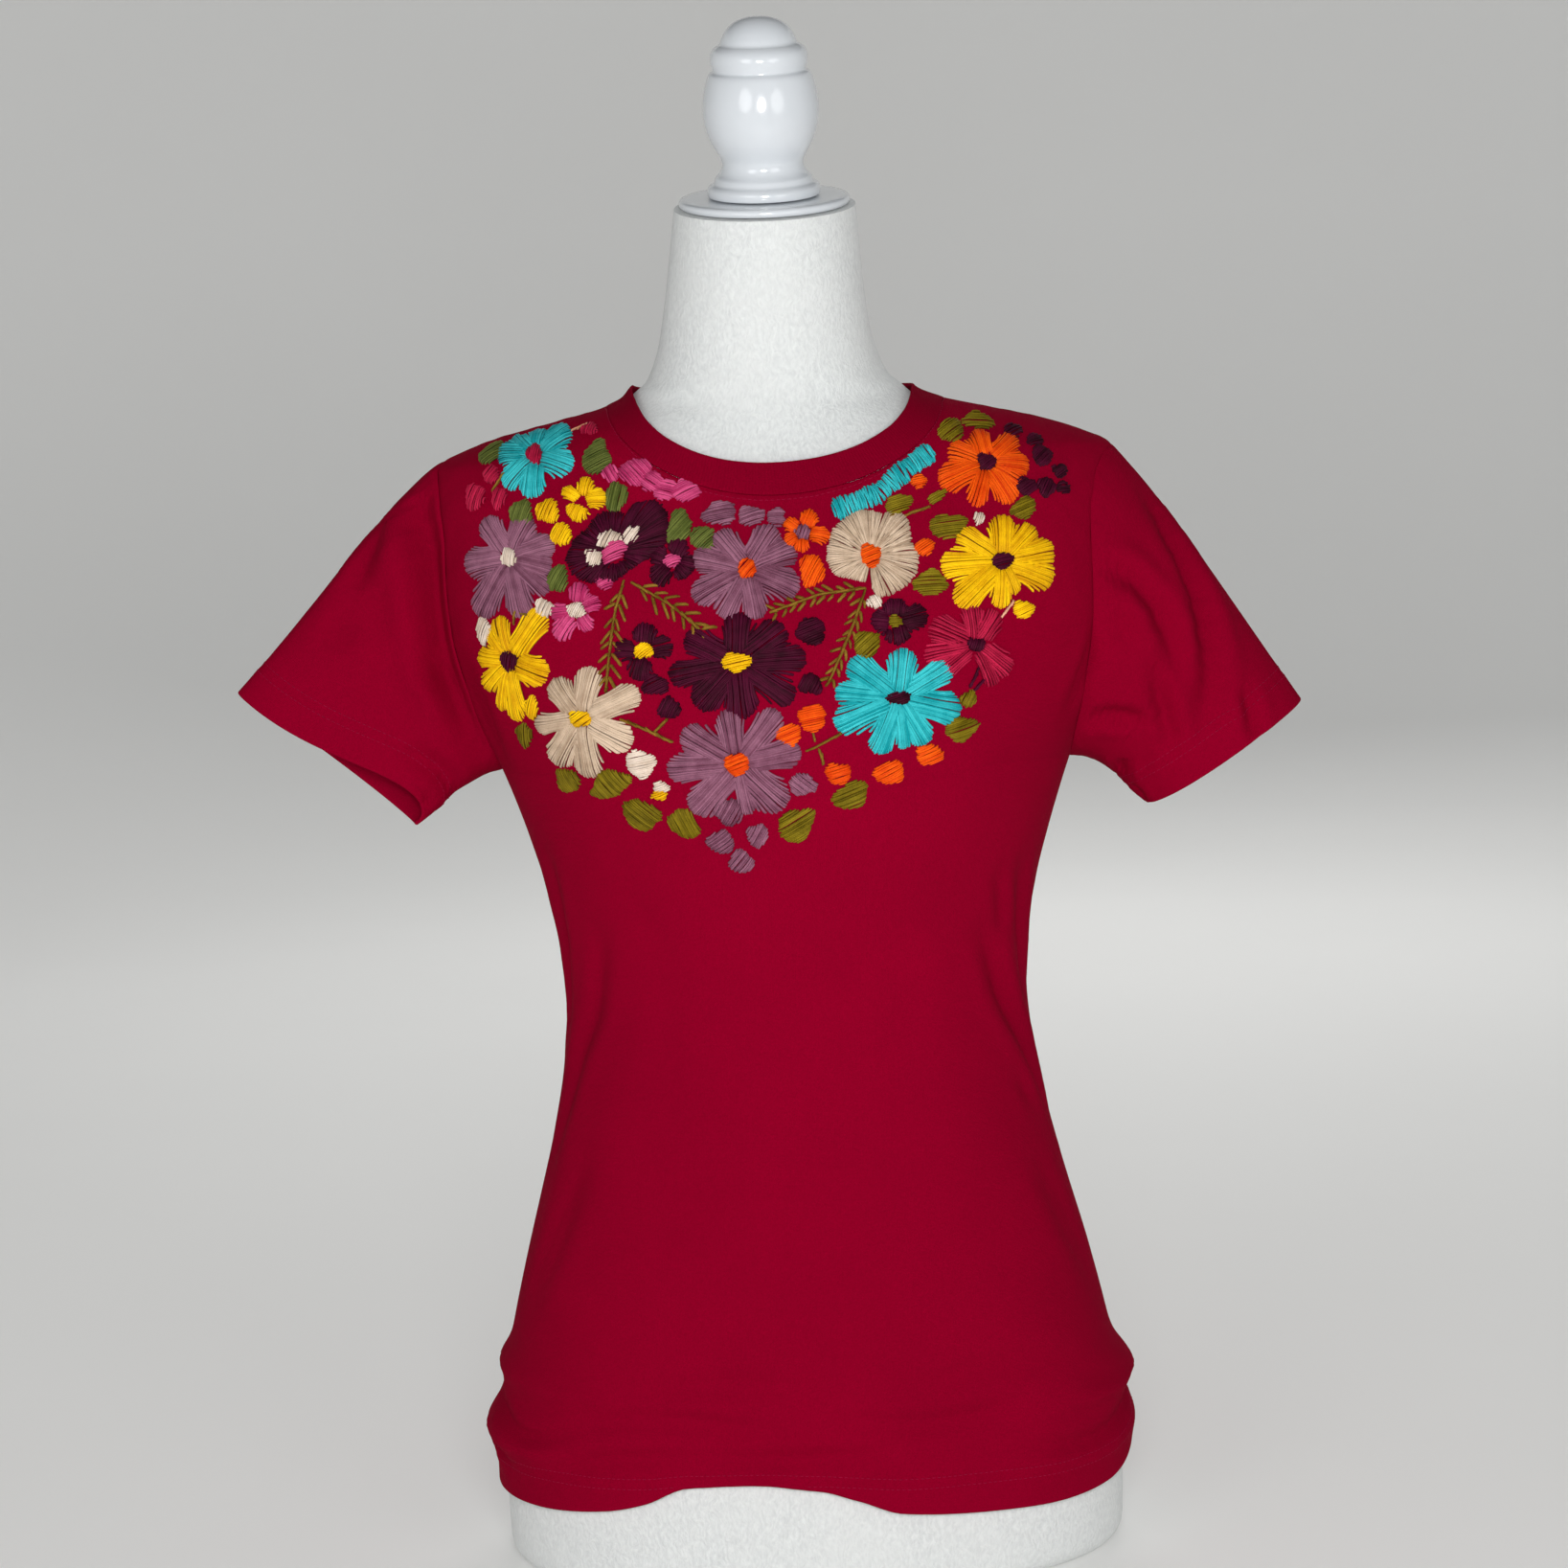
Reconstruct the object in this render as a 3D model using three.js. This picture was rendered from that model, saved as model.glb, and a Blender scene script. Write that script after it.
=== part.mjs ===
// A women's crew-neck t-shirt in cotton jersey, worn by a limbless dress form.
// Millimetres, +Z up, the front faces -Y, and the origin is the middle of the form's flat base.
//
// The form is a padded torso covered in white jersey, with a turned knob on its neck. The shirt
// is cut and sewn from a front, a back, two set-in sleeves and a rib neckband. Each piece is a
// thin wall that lies on the form with a little ease. Places on the torso are given by two
// numbers: a height, and a turn that is 0 at the middle of the front, 1 at the wearer's left
// side (+X), 2 at the middle of the back and 3 at the other side.
import * as THREE from "three";

// Driving dimensions of the cloth.
const WALL = 1.6; // jersey
const BAND_WALL = 2; // rib, folded double
const SEAM_GAP = 0.3; // between two sewn pieces
const UNDER_LEFT = 438; // height of the underarm seam on each side
const UNDER_RIGHT = 434;

// How finely each piece is divided.
const BODY_ROWS = 18; // hem to underarm
const HEM_CROWDING = 1.4; // how much closer those rows lie near the hem
const ARMHOLE_ROWS = 12; // underarm to shoulder tip
const TIP_CROWDING = 0.8; // how much closer those rows lie near the shoulder tip
const PANEL_COLUMNS = 26;
const NECK_COLUMNS = 7; // of a panel's columns, from its middle to the neck point
const SLEEVE_ROWS = 9;
const FORM_COLUMNS = 44;
const LATHE_SEGMENTS = 28;
const OUTLINE_STEPS = 24;

const table = (names, rows) =>
  rows.map((row) => Object.fromEntries(names.split(" ").map((name, i) => [name, row[i]])));

// Sections of the torso and neck from the base up: half width at the side seams, reach of the
// front and the back from the middle plane, the side seams' own y, how square the section is,
// and how far its plane leans forward, in degrees.
const FIGURE = table("z half front back mid power lean", [
  [0, 169.5, 101, 104, 2, 2.3, 0],
  [40, 170.5, 104, 109, 2, 2.3, 0],
  [80, 168.5, 106, 112, 2, 2.3, 0],
  [120, 162.5, 106, 112, 2, 2.3, 0],
  [160, 153.5, 103, 107, 3, 2.25, 0],
  [200, 142.5, 97, 99, 3, 2.2, 0],
  [240, 131.5, 91, 89, 3, 2.2, 0],
  [280, 122.5, 86, 81, 3, 2.2, 0],
  [310, 119.5, 85, 78, 3, 2.2, 0],
  [340, 121.5, 88, 77.5, 3, 2.2, 0],
  [370, 127.5, 94, 79.5, 3, 2.25, 0],
  [400, 137, 102, 84, 3, 2.3, 0],
  [438, 151, 111, 91, 3, 2.3, 0],
  [475, 167.5, 114, 96, 4, 2.3, 0],
  [515, 180, 108, 98, 4, 2.3, 0],
  [550, 183.5, 95, 96, 4, 2.3, 0],
  [575, 183.5, 81, 91, 4, 2.3, 0],
  [589, 182.5, 73, 86, 4, 2.15, 0],
  [597.5, 180, 68, 82.5, 4, 2, 0],
  [604.5, 167, 65, 79, 4, 1.85, 0],
  [612, 146, 62, 75, 4, 1.7, 0],
  [619.5, 116, 59.5, 70, 4, 1.65, 0],
  [626.5, 89, 57.5, 64.5, 4, 1.7, 0],
  [631.5, 77, 56, 61, 4, 1.8, 0],
  [637, 71, 55, 58.5, 4, 1.9, 0.5],
  [642, 65, 54.5, 56.5, 3, 2, 1],
  [651, 60.5, 54, 53.5, 1, 2, 3],
  [664, 56.5, 54.5, 50.5, -1.5, 2, 5],
  [686, 53, 56, 45.5, -5, 2, 8],
  [732, 48, 60, 36, -12, 2, 12],
]);
const NECK_TOP = FIGURE.at(-1);

// The neck stands a little to one side.
const SWAY = table("z x", [
  [560, 0],
  [625, -3],
  [660, -3],
  [732, -0.8],
]);

const BUST = { across: 76, z: 458, spread: 54, rise: 8 }; // two soft swells under the cloth
const BASE_EDGE = 12; // rounding round the form's base
const SHOULDERS = [589, 642]; // heights between which the form's rings lie twice as close

// The armhole plates flatten the form's shoulder ends: the widest the form may be there.
const PLATE = table("z half", [
  [420, 185],
  [440, 150],
  [520, 162],
  [600, 174],
  [612, 200],
]);
const PLATE_EDGE = 7; // softness of the plate's rim

// How far the cloth's middle lies off the form at the sides, the front and the back.
const EASE = table("z side front back", [
  [0, 4, 6, 5],
  [60, 4, 5, 5],
  [100, 2.4, 3, 3.5],
  [150, 2.1, 3, 4],
  [220, 2.6, 6, 7],
  [300, 5.5, 8, 10],
  [360, 5, 8, 10],
  [410, 3, 5, 7],
  [450, 2.1, 2.2, 3.4],
  [510, 2, 2.4, 2.4],
  [570, 1.9, 2.2, 2.2],
  [600, 3, 3.6, 4.2],
  [615, 2.8, 3.2, 3.5],
  [640, 1.7, 1.7, 1.7],
]);

// Rolls of cloth pushed up over the hips at the side seams: side -1 is -X. Each stands out by
// "out", is "tall" above and "under" below its ridge, and fades over "reach" of a quarter turn.
const ROLLS = table("side z tall under out reach", [
  [-1, 109, 9, 6, 5, 0.3],
  [-1, 75, 12, 10, 8, 0.4],
  [1, 93, 13, 5, 8.5, 0.34],
  [1, 67, 13, 12, 4, 0.4],
]);

// Height of the hem round the body, by turn.
const HEM = table("turn z", [
  [-1, 45],
  [-0.82, 45.5],
  [-0.68, 46.5],
  [-0.5, 51],
  [-0.4, 57],
  [-0.3, 67],
  [-0.15, 69],
  [0, 65],
  [0.1, 58],
  [0.2, 49.5],
  [0.45, 45],
  [0.6, 43.5],
  [0.75, 45],
  [0.9, 52],
  [1, 61],
  [1.3, 62],
  [1.65, 56],
  [2, 60],
  [2.4, 54],
  [2.75, 51],
  [3, 45],
]);

// The neck opening, at the band's free edge and at its seam: its height on the shoulders, -X
// and +X, and at the middle of the front and of the back.
const NECK_EDGE = { left: 637.5, right: 632.5, front: 596, back: 634 };
const NECK_SEAM = { left: 628, right: 625.5, front: 580.5, back: 623.5 };

// Each sleeve: where its armhole ends on the shoulder, how far the armhole reaches forward and
// back, the cuff's outer tip and lower corner with its half depth, and how far the cuff's front
// edge stands back. The last four are the directions its top and under lines leave the armhole
// and reach the cuff in, each as long as the share of the line it shapes.
const SLEEVES = [
  {
    name: "sleeve_left",
    side: -1,
    under: UNDER_LEFT,
    top: 601.5,
    front: 40,
    back: 56,
    tip: [-295, -12, 484],
    corner: [-201, -16, 409],
    depth: 17,
    raise: 10,
    capOut: [-0.44, 0, -0.24],
    underOut: [-0.9, 0, 0],
    cuffTop: [-0.63, -0.05, -0.64],
    cuffUnder: [-0.72, -0.09, -0.54],
  },
  {
    name: "sleeve_right",
    side: 1,
    under: UNDER_RIGHT,
    top: 598,
    front: 59,
    back: 48,
    tip: [279, 0, 458],
    corner: [196, -6, 404.5],
    depth: 27,
    raise: -3,
    capOut: [0.56, 0, -0.7],
    underOut: [0.9, 0, 0.04],
    cuffTop: [0.5, 0, -0.75],
    cuffUnder: [0.63, 0, -0.63],
  },
];

// The knob on the neck: its profile from the disc up.
const DISC = { radius: 45.3, thick: 5, edge: 1.5 };
const KNOB = table("radius z", [
  [0, 0],
  [29, 0],
  [29.9, 1.2],
  [29.9, 4.6],
  [28.6, 6.2],
  [26.6, 7],
  [26, 8.4],
  [25.4, 10.4],
  [23.4, 12],
  [22, 14.4],
  [21.4, 17.6],
  [22.4, 20.8],
  [25.6, 26],
  [28.8, 33],
  [30.5, 41],
  [30.6, 48],
  [29.4, 56],
  [27, 64],
  [24.6, 65],
  [24.7, 66.6],
  [25.6, 69],
  [25.7, 73],
  [24.4, 76.2],
  [22.2, 78],
  [20.2, 78.8],
  [19.2, 82],
  [16.6, 86.8],
  [12, 90.4],
  [6.2, 92.4],
  [0, 93],
]);
const REST_GAP = 0.3; // between the neck, the disc and the knob

const CHERRY = new THREE.MeshStandardMaterial({ color: 0x94042a, roughness: 0.9 });
const RIB = new THREE.MeshStandardMaterial({ color: 0x84031f, roughness: 0.9 });
const WHITE_JERSEY = new THREE.MeshStandardMaterial({ color: 0xe1e4e4, roughness: 0.95 });
const WHITE_GLOSS = new THREE.MeshStandardMaterial({ color: 0xe9ebf2, roughness: 0.15 });

// Slope of a table's column at row i, kept flat at a high or low point so nothing overshoots.
function slopeAt(rows, key, column, i) {
  const rise = (j) => (rows[j + 1][column] - rows[j][column]) / (rows[j + 1][key] - rows[j][key]);
  if (i === 0) return rise(0);
  if (i === rows.length - 1) return rise(i - 1);
  const before = rise(i - 1);
  const after = rise(i);
  return before * after <= 0 ? 0 : (2 * before * after) / (before + after);
}

// All columns of a table at a value of its key, by cubics from row to row.
function rowAt(rows, key, value) {
  const next = rows.findIndex((row) => row[key] > value);
  const i = next < 0 ? rows.length - 2 : Math.max(next - 1, 0);
  const step = rows[i + 1][key] - rows[i][key];
  const u = Math.min(Math.max((value - rows[i][key]) / step, 0), 1);
  const found = {};
  for (const column of Object.keys(rows[i])) {
    const rise = rows[i + 1][column] - rows[i][column];
    const first = slopeAt(rows, key, column, i) * step;
    const last = slopeAt(rows, key, column, i + 1) * step;
    const bend = u * (1 - u) * ((1 - u) * (first - rise) - u * (last - rise));
    found[column] = rows[i][column] + rise * u + bend;
  }
  return found;
}

// One quarter of a section, from the middle of its face (angle 0) to the side (a right angle).
function quarterOf(row, back) {
  const depth = back ? row.back - row.mid : row.front + row.mid;
  const at = (angle) => [
    row.half * Math.sin(angle) ** (2 / row.power),
    depth * Math.cos(angle) ** (2 / row.power),
  ];
  const right = Math.PI / 2;
  const lengths = [0];
  let [x, y] = at(0);
  for (let k = 1; k <= OUTLINE_STEPS; k++) {
    const [nextX, nextY] = at((right * k) / OUTLINE_STEPS);
    lengths.push(lengths[k - 1] + Math.hypot(nextX - x, nextY - y));
    [x, y] = [nextX, nextY];
  }
  const total = lengths[OUTLINE_STEPS];
  const angleAt = (share) => {
    const wanted = share * total;
    const k = Math.min(Math.max(lengths.findIndex((length) => length >= wanted), 1), OUTLINE_STEPS);
    const part = (wanted - lengths[k - 1]) / (lengths[k] - lengths[k - 1]);
    return (right * (k - 1 + part)) / OUTLINE_STEPS;
  };
  const shareAt = (angle) => {
    const step = (Math.min(angle, right) / right) * OUTLINE_STEPS;
    const k = Math.min(Math.floor(step), OUTLINE_STEPS - 1);
    return (lengths[k] + (lengths[k + 1] - lengths[k]) * (step - k)) / total;
  };
  return { at, depth, total, angleAt, shareAt };
}

// How a turn round the body falls: which face, which side, and its share of a quarter.
function placeOf(turn) {
  const whole = ((turn % 4) + 4) % 4;
  const back = whole > 1 && whole < 3;
  const side = whole <= 2 ? 1 : -1;
  const share = back ? Math.abs(2 - whole) : Math.min(whole, 4 - whole);
  return { back, side, share };
}

// A point of the bare torso. Cloth bridges the hollow between the two swells of the bust.
function torso(turn, z, bridged) {
  const row = rowAt(FIGURE, "z", z);
  const { back, side, share } = placeOf(turn);
  const quarter = quarterOf(row, back);
  const [across, deep] = quarter.at(quarter.angleAt(share));
  const off = bridged ? Math.max(across - BUST.across, 0) : across - BUST.across;
  const swell = Math.exp(-((off / BUST.spread) ** 2) - ((z - BUST.z) / BUST.spread) ** 2);
  const y = back ? row.mid + deep : row.mid - deep - BUST.rise * swell * (1 - share ** 2);
  const lean = Math.tan(THREE.MathUtils.degToRad(row.lean));
  const sway = rowAt(SWAY, "z", z).x;
  return new THREE.Vector3(side * across + sway, y, z + (y - row.mid) * lean);
}

// The outward normal of any surface that is given by turn and height.
function normalOf(surface, turn, z) {
  const round = surface(turn + 0.01, z).sub(surface(turn - 0.01, z));
  const up = surface(turn, z + 0.6).sub(surface(turn, z - 0.6));
  return round.cross(up).normalize();
}

const bridgedTorso = (turn, z) => torso(turn, z, true);

// The middle of the shirt's wall: the torso, its ease, and the rolls over the hips.
function shirt(turn, z) {
  const { back, side, share } = placeOf(turn);
  const ease = rowAt(EASE, "z", z);
  const face = back ? ease.back : ease.front;
  let off = face + (ease.side - face) * Math.sin((share * Math.PI) / 2) ** 2;
  for (const roll of ROLLS) {
    if (roll.side !== side) continue;
    const tall = z > roll.z ? roll.tall : roll.under;
    const round = Math.exp(-(((1 - share) / roll.reach) ** 2));
    off += roll.out * round * Math.exp(-(((z - roll.z) / tall) ** 2));
  }
  return bridgedTorso(turn, z).addScaledVector(normalOf(bridgedTorso, turn, z), off);
}

// A closed solid from a grid of points and the outward direction of its wall at each.
function clothSolid(points, normals, wall, closed) {
  const rows = points.length;
  const columns = points[0].length;
  const positions = [];
  for (const half of [wall / 2, -wall / 2]) {
    points.forEach((row, i) =>
      row.forEach((point, j) => {
        positions.push(...point.clone().addScaledVector(normals[i][j], half));
      }),
    );
  }
  const outer = (i, j) => i * columns + (j % columns);
  const inner = (i, j) => outer(i, j) + rows * columns;
  const faces = [];
  const quad = (a, b, c, d) => faces.push(a, b, c, a, c, d);
  const spans = closed ? columns : columns - 1;
  for (let j = 0; j < spans; j++) {
    for (let i = 0; i < rows - 1; i++) {
      quad(outer(i, j), outer(i, j + 1), outer(i + 1, j + 1), outer(i + 1, j));
      quad(inner(i, j), inner(i + 1, j), inner(i + 1, j + 1), inner(i, j + 1));
    }
    quad(outer(0, j), inner(0, j), inner(0, j + 1), outer(0, j + 1));
    const end = rows - 1;
    quad(outer(end, j), outer(end, j + 1), inner(end, j + 1), inner(end, j));
  }
  if (!closed) {
    const end = columns - 1;
    for (let i = 0; i < rows - 1; i++) {
      quad(outer(i, 0), outer(i + 1, 0), inner(i + 1, 0), inner(i, 0));
      quad(outer(i, end), inner(i, end), inner(i + 1, end), outer(i + 1, end));
    }
  }
  return solidFrom(positions, faces);
}

// Rings stacked from the bottom up, closed flat at both ends.
function ringSolid(rings) {
  const columns = rings[0].length;
  const positions = rings.flat().flatMap((point) => [...point]);
  const faces = [];
  for (let i = 0; i < rings.length - 1; i++) {
    for (let j = 0; j < columns; j++) {
      const a = i * columns + j;
      const b = i * columns + ((j + 1) % columns);
      faces.push(a, b, b + columns, a, b + columns, a + columns);
    }
  }
  for (const [ring, turnedOver] of [[0, true], [rings.length - 1, false]]) {
    const middle = new THREE.Vector3();
    rings[ring].forEach((point) => middle.addScaledVector(point, 1 / columns));
    const hub = positions.length / 3;
    positions.push(...middle);
    for (let j = 0; j < columns; j++) {
      const a = ring * columns + j;
      const b = ring * columns + ((j + 1) % columns);
      faces.push(...(turnedOver ? [b, a, hub] : [a, b, hub]));
    }
  }
  return solidFrom(positions, faces);
}

// A geometry whose faces point out, whichever way round its rows ran.
function solidFrom(positions, faces) {
  const corner = (k) => new THREE.Vector3().fromArray(positions, 3 * k);
  let volume = 0;
  for (let k = 0; k < faces.length; k += 3) {
    volume += corner(faces[k]).dot(corner(faces[k + 1]).cross(corner(faces[k + 2])));
  }
  if (volume < 0) faces.reverse();
  const geometry = new THREE.BufferGeometry();
  geometry.setAttribute("position", new THREE.Float32BufferAttribute(positions, 3));
  geometry.setIndex(faces);
  geometry.computeVertexNormals();
  return geometry;
}

// A point on the armhole: climb 0 is the underarm and 1 the shoulder tip, and equal steps of it
// lie closer towards the tip, where the form curves most.
const ARMHOLE_FULLNESS = 0.8; // below 1 the curve is fuller than an ellipse
function armhole(sleeve, climb, back) {
  const angle = Math.PI * climb ** TIP_CROWDING;
  const z = (sleeve.top + sleeve.under) / 2 - ((sleeve.top - sleeve.under) / 2) * Math.cos(angle);
  const row = rowAt(FIGURE, "z", z);
  const quarter = quarterOf(row, back);
  const deep = (back ? sleeve.back : sleeve.front) * Math.sin(angle) ** ARMHOLE_FULLNESS;
  return { z, share: quarter.shareAt(Math.acos((deep / quarter.depth) ** (row.power / 2))) };
}

// The neck opening from the middle of the front or back to the shoulder on one side, in equal
// steps along the cloth.
function neckLine(edge, side, back) {
  const middle = back ? edge.back : edge.front;
  const shoulder = side < 0 ? edge.left : edge.right;
  const { half } = rowAt(FIGURE, "z", shoulder);
  const places = [];
  let length = 0;
  let before;
  for (let k = 0; k <= OUTLINE_STEPS; k++) {
    const angle = ((Math.PI / 2) * k) / OUTLINE_STEPS;
    const z = shoulder + (middle - shoulder) * Math.cos(angle);
    const row = rowAt(FIGURE, "z", z);
    const outline = Math.asin(Math.min((half * Math.sin(angle)) / row.half, 1) ** (row.power / 2));
    const share = quarterOf(row, back).shareAt(outline);
    const turn = side * (back ? 2 - share : share);
    const point = torso(turn, z, true);
    if (k > 0) length += before.distanceTo(point);
    before = point;
    places.push({ z, share, turn, length });
  }
  const line = [];
  for (let k = 0; k <= NECK_COLUMNS; k++) {
    line.push(rowAt(places, "length", (length * k) / NECK_COLUMNS));
  }
  return line;
}

// The front (middle 0) or back (middle 2) panel. It is laid out flat, with its width measured
// along the cloth from the panel's middle, between its hem, side seams and armholes, shoulder
// seams and neckline, and then wrapped round the torso. The hem's and the shoulders' shape fades
// inwards by EDGE_FADE, and the side seams' and armholes' shape by SIDE_FADE.
const EDGE_FADE = 4;
const SIDE_FADE = 2.4;
function panel(middle) {
  const back = middle === 2;
  const widthAt = (z) => quarterOf(rowAt(FIGURE, "z", z), back).total;
  const turnOf = (place) => (back ? 2 - place : place);
  const hemAt = (s) => rowAt(HEM, "turn", turnOf(s)).z;
  const [leftSleeve, rightSleeve] = SLEEVES;
  const sideOf = (sleeve) => {
    const low = hemAt(sleeve.side);
    const points = [];
    for (let i = 0; i < BODY_ROWS; i++) {
      const z = low + (sleeve.under - low) * (i / BODY_ROWS) ** HEM_CROWDING;
      points.push({ z, share: 1 });
    }
    for (let i = 0; i <= ARMHOLE_ROWS; i++) {
      points.push(armhole(sleeve, i / ARMHOLE_ROWS, back));
    }
    return points.map(({ z, share }) => ({ z, p: sleeve.side * share * widthAt(z) }));
  };
  const left = sideOf(leftSleeve);
  const right = sideOf(rightSleeve);
  const neck = [leftSleeve, rightSleeve].map(({ side }) => neckLine(NECK_SEAM, side, back));
  const topAt = (column) => {
    const out = Math.abs(column);
    const sleeve = column < 0 ? leftSleeve : rightSleeve;
    const line = neck[column < 0 ? 0 : 1];
    if (out <= NECK_COLUMNS) {
      const { z, share } = line[out];
      return { z, p: sleeve.side * share * widthAt(z) };
    }
    const along = (out - NECK_COLUMNS) / (PANEL_COLUMNS / 2 - NECK_COLUMNS);
    const z = line[NECK_COLUMNS].z + (sleeve.top - line[NECK_COLUMNS].z) * along;
    return { z, p: sleeve.side * widthAt(z) };
  };
  const last = left.length - 1;
  const points = [];
  const normals = [];
  for (let i = 0; i <= last; i++) {
    const low = (left[0].z + right[0].z) / 2;
    const high = (left[last].z + right[last].z) / 2;
    const t = ((left[i].z + right[i].z) / 2 - low) / (high - low);
    points.push([]);
    normals.push([]);
    for (let j = 0; j <= PANEL_COLUMNS; j++) {
      const across = j / PANEL_COLUMNS;
      const s = 2 * across - 1;
      const bottom = hemAt(s);
      const top = topAt(j - PANEL_COLUMNS / 2);
      const between = (row) => left[row].z + (right[row].z - left[row].z) * across;
      const hemShape = (bottom - between(0)) * (1 - t) ** EDGE_FADE;
      const shoulderShape = (top.z - between(last)) * t ** EDGE_FADE;
      const z = between(i) + hemShape + shoulderShape;
      const side = s < 0 ? left : right;
      const sideShape = side[i].p - (1 - t) * side[0].p - t * side[last].p;
      const straight = (1 - t) * s * widthAt(bottom) + t * top.p;
      const width = widthAt(z);
      const limit = width - 0.75 * SEAM_GAP;
      const reach = straight + Math.abs(s) ** SIDE_FADE * sideShape;
      const p = Math.min(Math.max(reach, -limit), limit);
      const turn = turnOf(p / width);
      points[i].push(shirt(turn, z));
      normals[i].push(normalOf(shirt, turn, z));
    }
  }
  return clothSolid(points, normals, WALL, false);
}

const vector = (numbers) => new THREE.Vector3(...numbers);

// A sleeve: a tube from its armhole to its cuff. Lines run down it from the shoulder tip, the
// front, the underarm and the back, leave the armhole in their own directions and flatten
// towards the cuff, whose front edge stands higher than its back edge by twice "raise".
function sleevePiece(sleeve) {
  const columns = 2 * ARMHOLE_ROWS;
  const tip = vector(sleeve.tip);
  const corner = vector(sleeve.corner);
  const cuffMiddle = tip.clone().add(corner).divideScalar(2);
  const cuffHalf = tip.clone().sub(corner).divideScalar(2);
  const axis = vector(sleeve.cuffTop).add(vector(sleeve.cuffUnder)).normalize();
  const holeMiddle = new THREE.Vector3(sleeve.side * 175, 0, (sleeve.top + sleeve.under) / 2);
  const starts = [];
  for (let j = 0; j < columns; j++) {
    const angle = (2 * Math.PI * j) / columns;
    const back = j > ARMHOLE_ROWS;
    const place = armhole(sleeve, Math.abs(1 - j / ARMHOLE_ROWS), back);
    const turn = sleeve.side * (back ? 2 - place.share : place.share);
    starts.push({ angle, point: shirt(turn, place.z), normal: normalOf(shirt, turn, place.z) });
  }
  const lines = starts.map(({ angle, point, normal }, j) => {
    const lower = (1 - Math.cos(angle)) / 2;
    const leave = vector(sleeve.capOut).lerp(vector(sleeve.underOut), lower);
    const arrive = vector(sleeve.cuffTop).lerp(vector(sleeve.cuffUnder), lower);
    const before = starts[(j + columns - 1) % columns].point;
    const after = starts[(j + 1) % columns].point;
    const inHole = after.clone().sub(before).cross(normal).normalize();
    if (inHole.dot(holeMiddle.clone().sub(point)) < 0) inHole.negate();
    const mitre = SEAM_GAP + WALL * Math.tan(inHole.angleTo(leave) / 2);
    const forward = Math.sin(angle);
    const end = cuffMiddle.clone().addScaledVector(cuffHalf, Math.cos(angle));
    end.y -= sleeve.depth * Math.sign(forward) * Math.abs(forward) ** 1.2;
    end.addScaledVector(axis, -sleeve.raise * Math.max(forward, 0) * lower);
    const start = point.clone().addScaledVector(leave.clone().normalize(), mitre);
    const length = start.distanceTo(end);
    leave.multiplyScalar(length);
    arrive.multiplyScalar(length);
    return { start, end, leave, arrive, normal };
  });
  const points = [];
  for (let i = 0; i <= SLEEVE_ROWS; i++) {
    const u = i / SLEEVE_ROWS;
    points.push(
      lines.map(({ start, end, leave, arrive }) =>
        start.clone().multiplyScalar((1 + 2 * u) * (1 - u) ** 2)
          .addScaledVector(leave, u * (1 - u) ** 2)
          .addScaledVector(end, u * u * (3 - 2 * u))
          .addScaledVector(arrive, u * u * (u - 1)),
      ),
    );
  }
  const normals = points.map((ring, i) => {
    const middle = new THREE.Vector3();
    ring.forEach((point) => middle.addScaledVector(point, 1 / columns));
    return ring.map((point, j) => {
      const round = ring[(j + 1) % columns].clone().sub(ring[(j + columns - 1) % columns]);
      const along = points[Math.min(i + 1, SLEEVE_ROWS)][j].clone().sub(points[Math.max(i - 1, 0)][j]);
      const out = round.cross(along).normalize();
      return out.dot(point.clone().sub(middle)) < 0 ? out.negate() : out;
    });
  });
  normals[0].forEach((out, j) => out.add(lines[j].normal).normalize());
  return clothSolid(points, normals, WALL, true);
}

// The neckband: a ring of rib from its own free edge almost to the panels' neckline.
const BAND_SHARES = [0, 0.5, 0.97];
function neckband() {
  const points = [];
  const normals = [];
  for (const share of BAND_SHARES) {
    const edge = {};
    for (const key of Object.keys(NECK_EDGE)) {
      edge[key] = NECK_EDGE[key] + (NECK_SEAM[key] - NECK_EDGE[key]) * share;
    }
    const ring = [];
    for (const [side, back] of [[1, false], [1, true], [-1, true], [-1, false]]) {
      const line = neckLine(edge, side, back);
      if (back === side > 0) line.reverse();
      ring.push(...line.slice(0, -1));
    }
    const lift = (BAND_WALL - WALL) / 2;
    normals.push(ring.map(({ turn, z }) => normalOf(shirt, turn, z)));
    points.push(
      ring.map(({ turn, z }, j) => shirt(turn, z).addScaledVector(normals.at(-1)[j], lift)),
    );
  }
  return clothSolid(points, normals, BAND_WALL, true);
}

// The form: the bare torso, with a rounded base edge and flat plates at the armholes.
function formTorso() {
  const heights = [0, 1.6, BASE_EDGE / 2, BASE_EDGE];
  FIGURE.forEach(({ z }, i) => {
    if (z > SHOULDERS[0] && z <= SHOULDERS[1]) heights.push((z + FIGURE[i - 1].z) / 2);
    if (z > BASE_EDGE) heights.push(z);
  });
  const rings = heights.map((z) => {
    const inset = BASE_EDGE - Math.sqrt(BASE_EDGE ** 2 - Math.max(BASE_EDGE - z, 0) ** 2);
    const plate = rowAt(PLATE, "z", z).half;
    const ring = [];
    for (let j = 0; j < FORM_COLUMNS; j++) {
      const turn = (4 * j) / FORM_COLUMNS;
      const point = torso(turn, z, false);
      if (inset > 0) {
        const out = normalOf((a, b) => torso(a, b, false), turn, BASE_EDGE).setZ(0).normalize();
        point.addScaledVector(out, -inset);
      }
      const over = Math.abs(point.x) - (plate - PLATE_EDGE);
      if (over > 0) {
        const held = plate - PLATE_EDGE * Math.exp(-over / PLATE_EDGE);
        point.x = Math.sign(point.x) * held;
      }
      ring.push(point);
    }
    return ring;
  });
  return ringSolid(rings);
}

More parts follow.
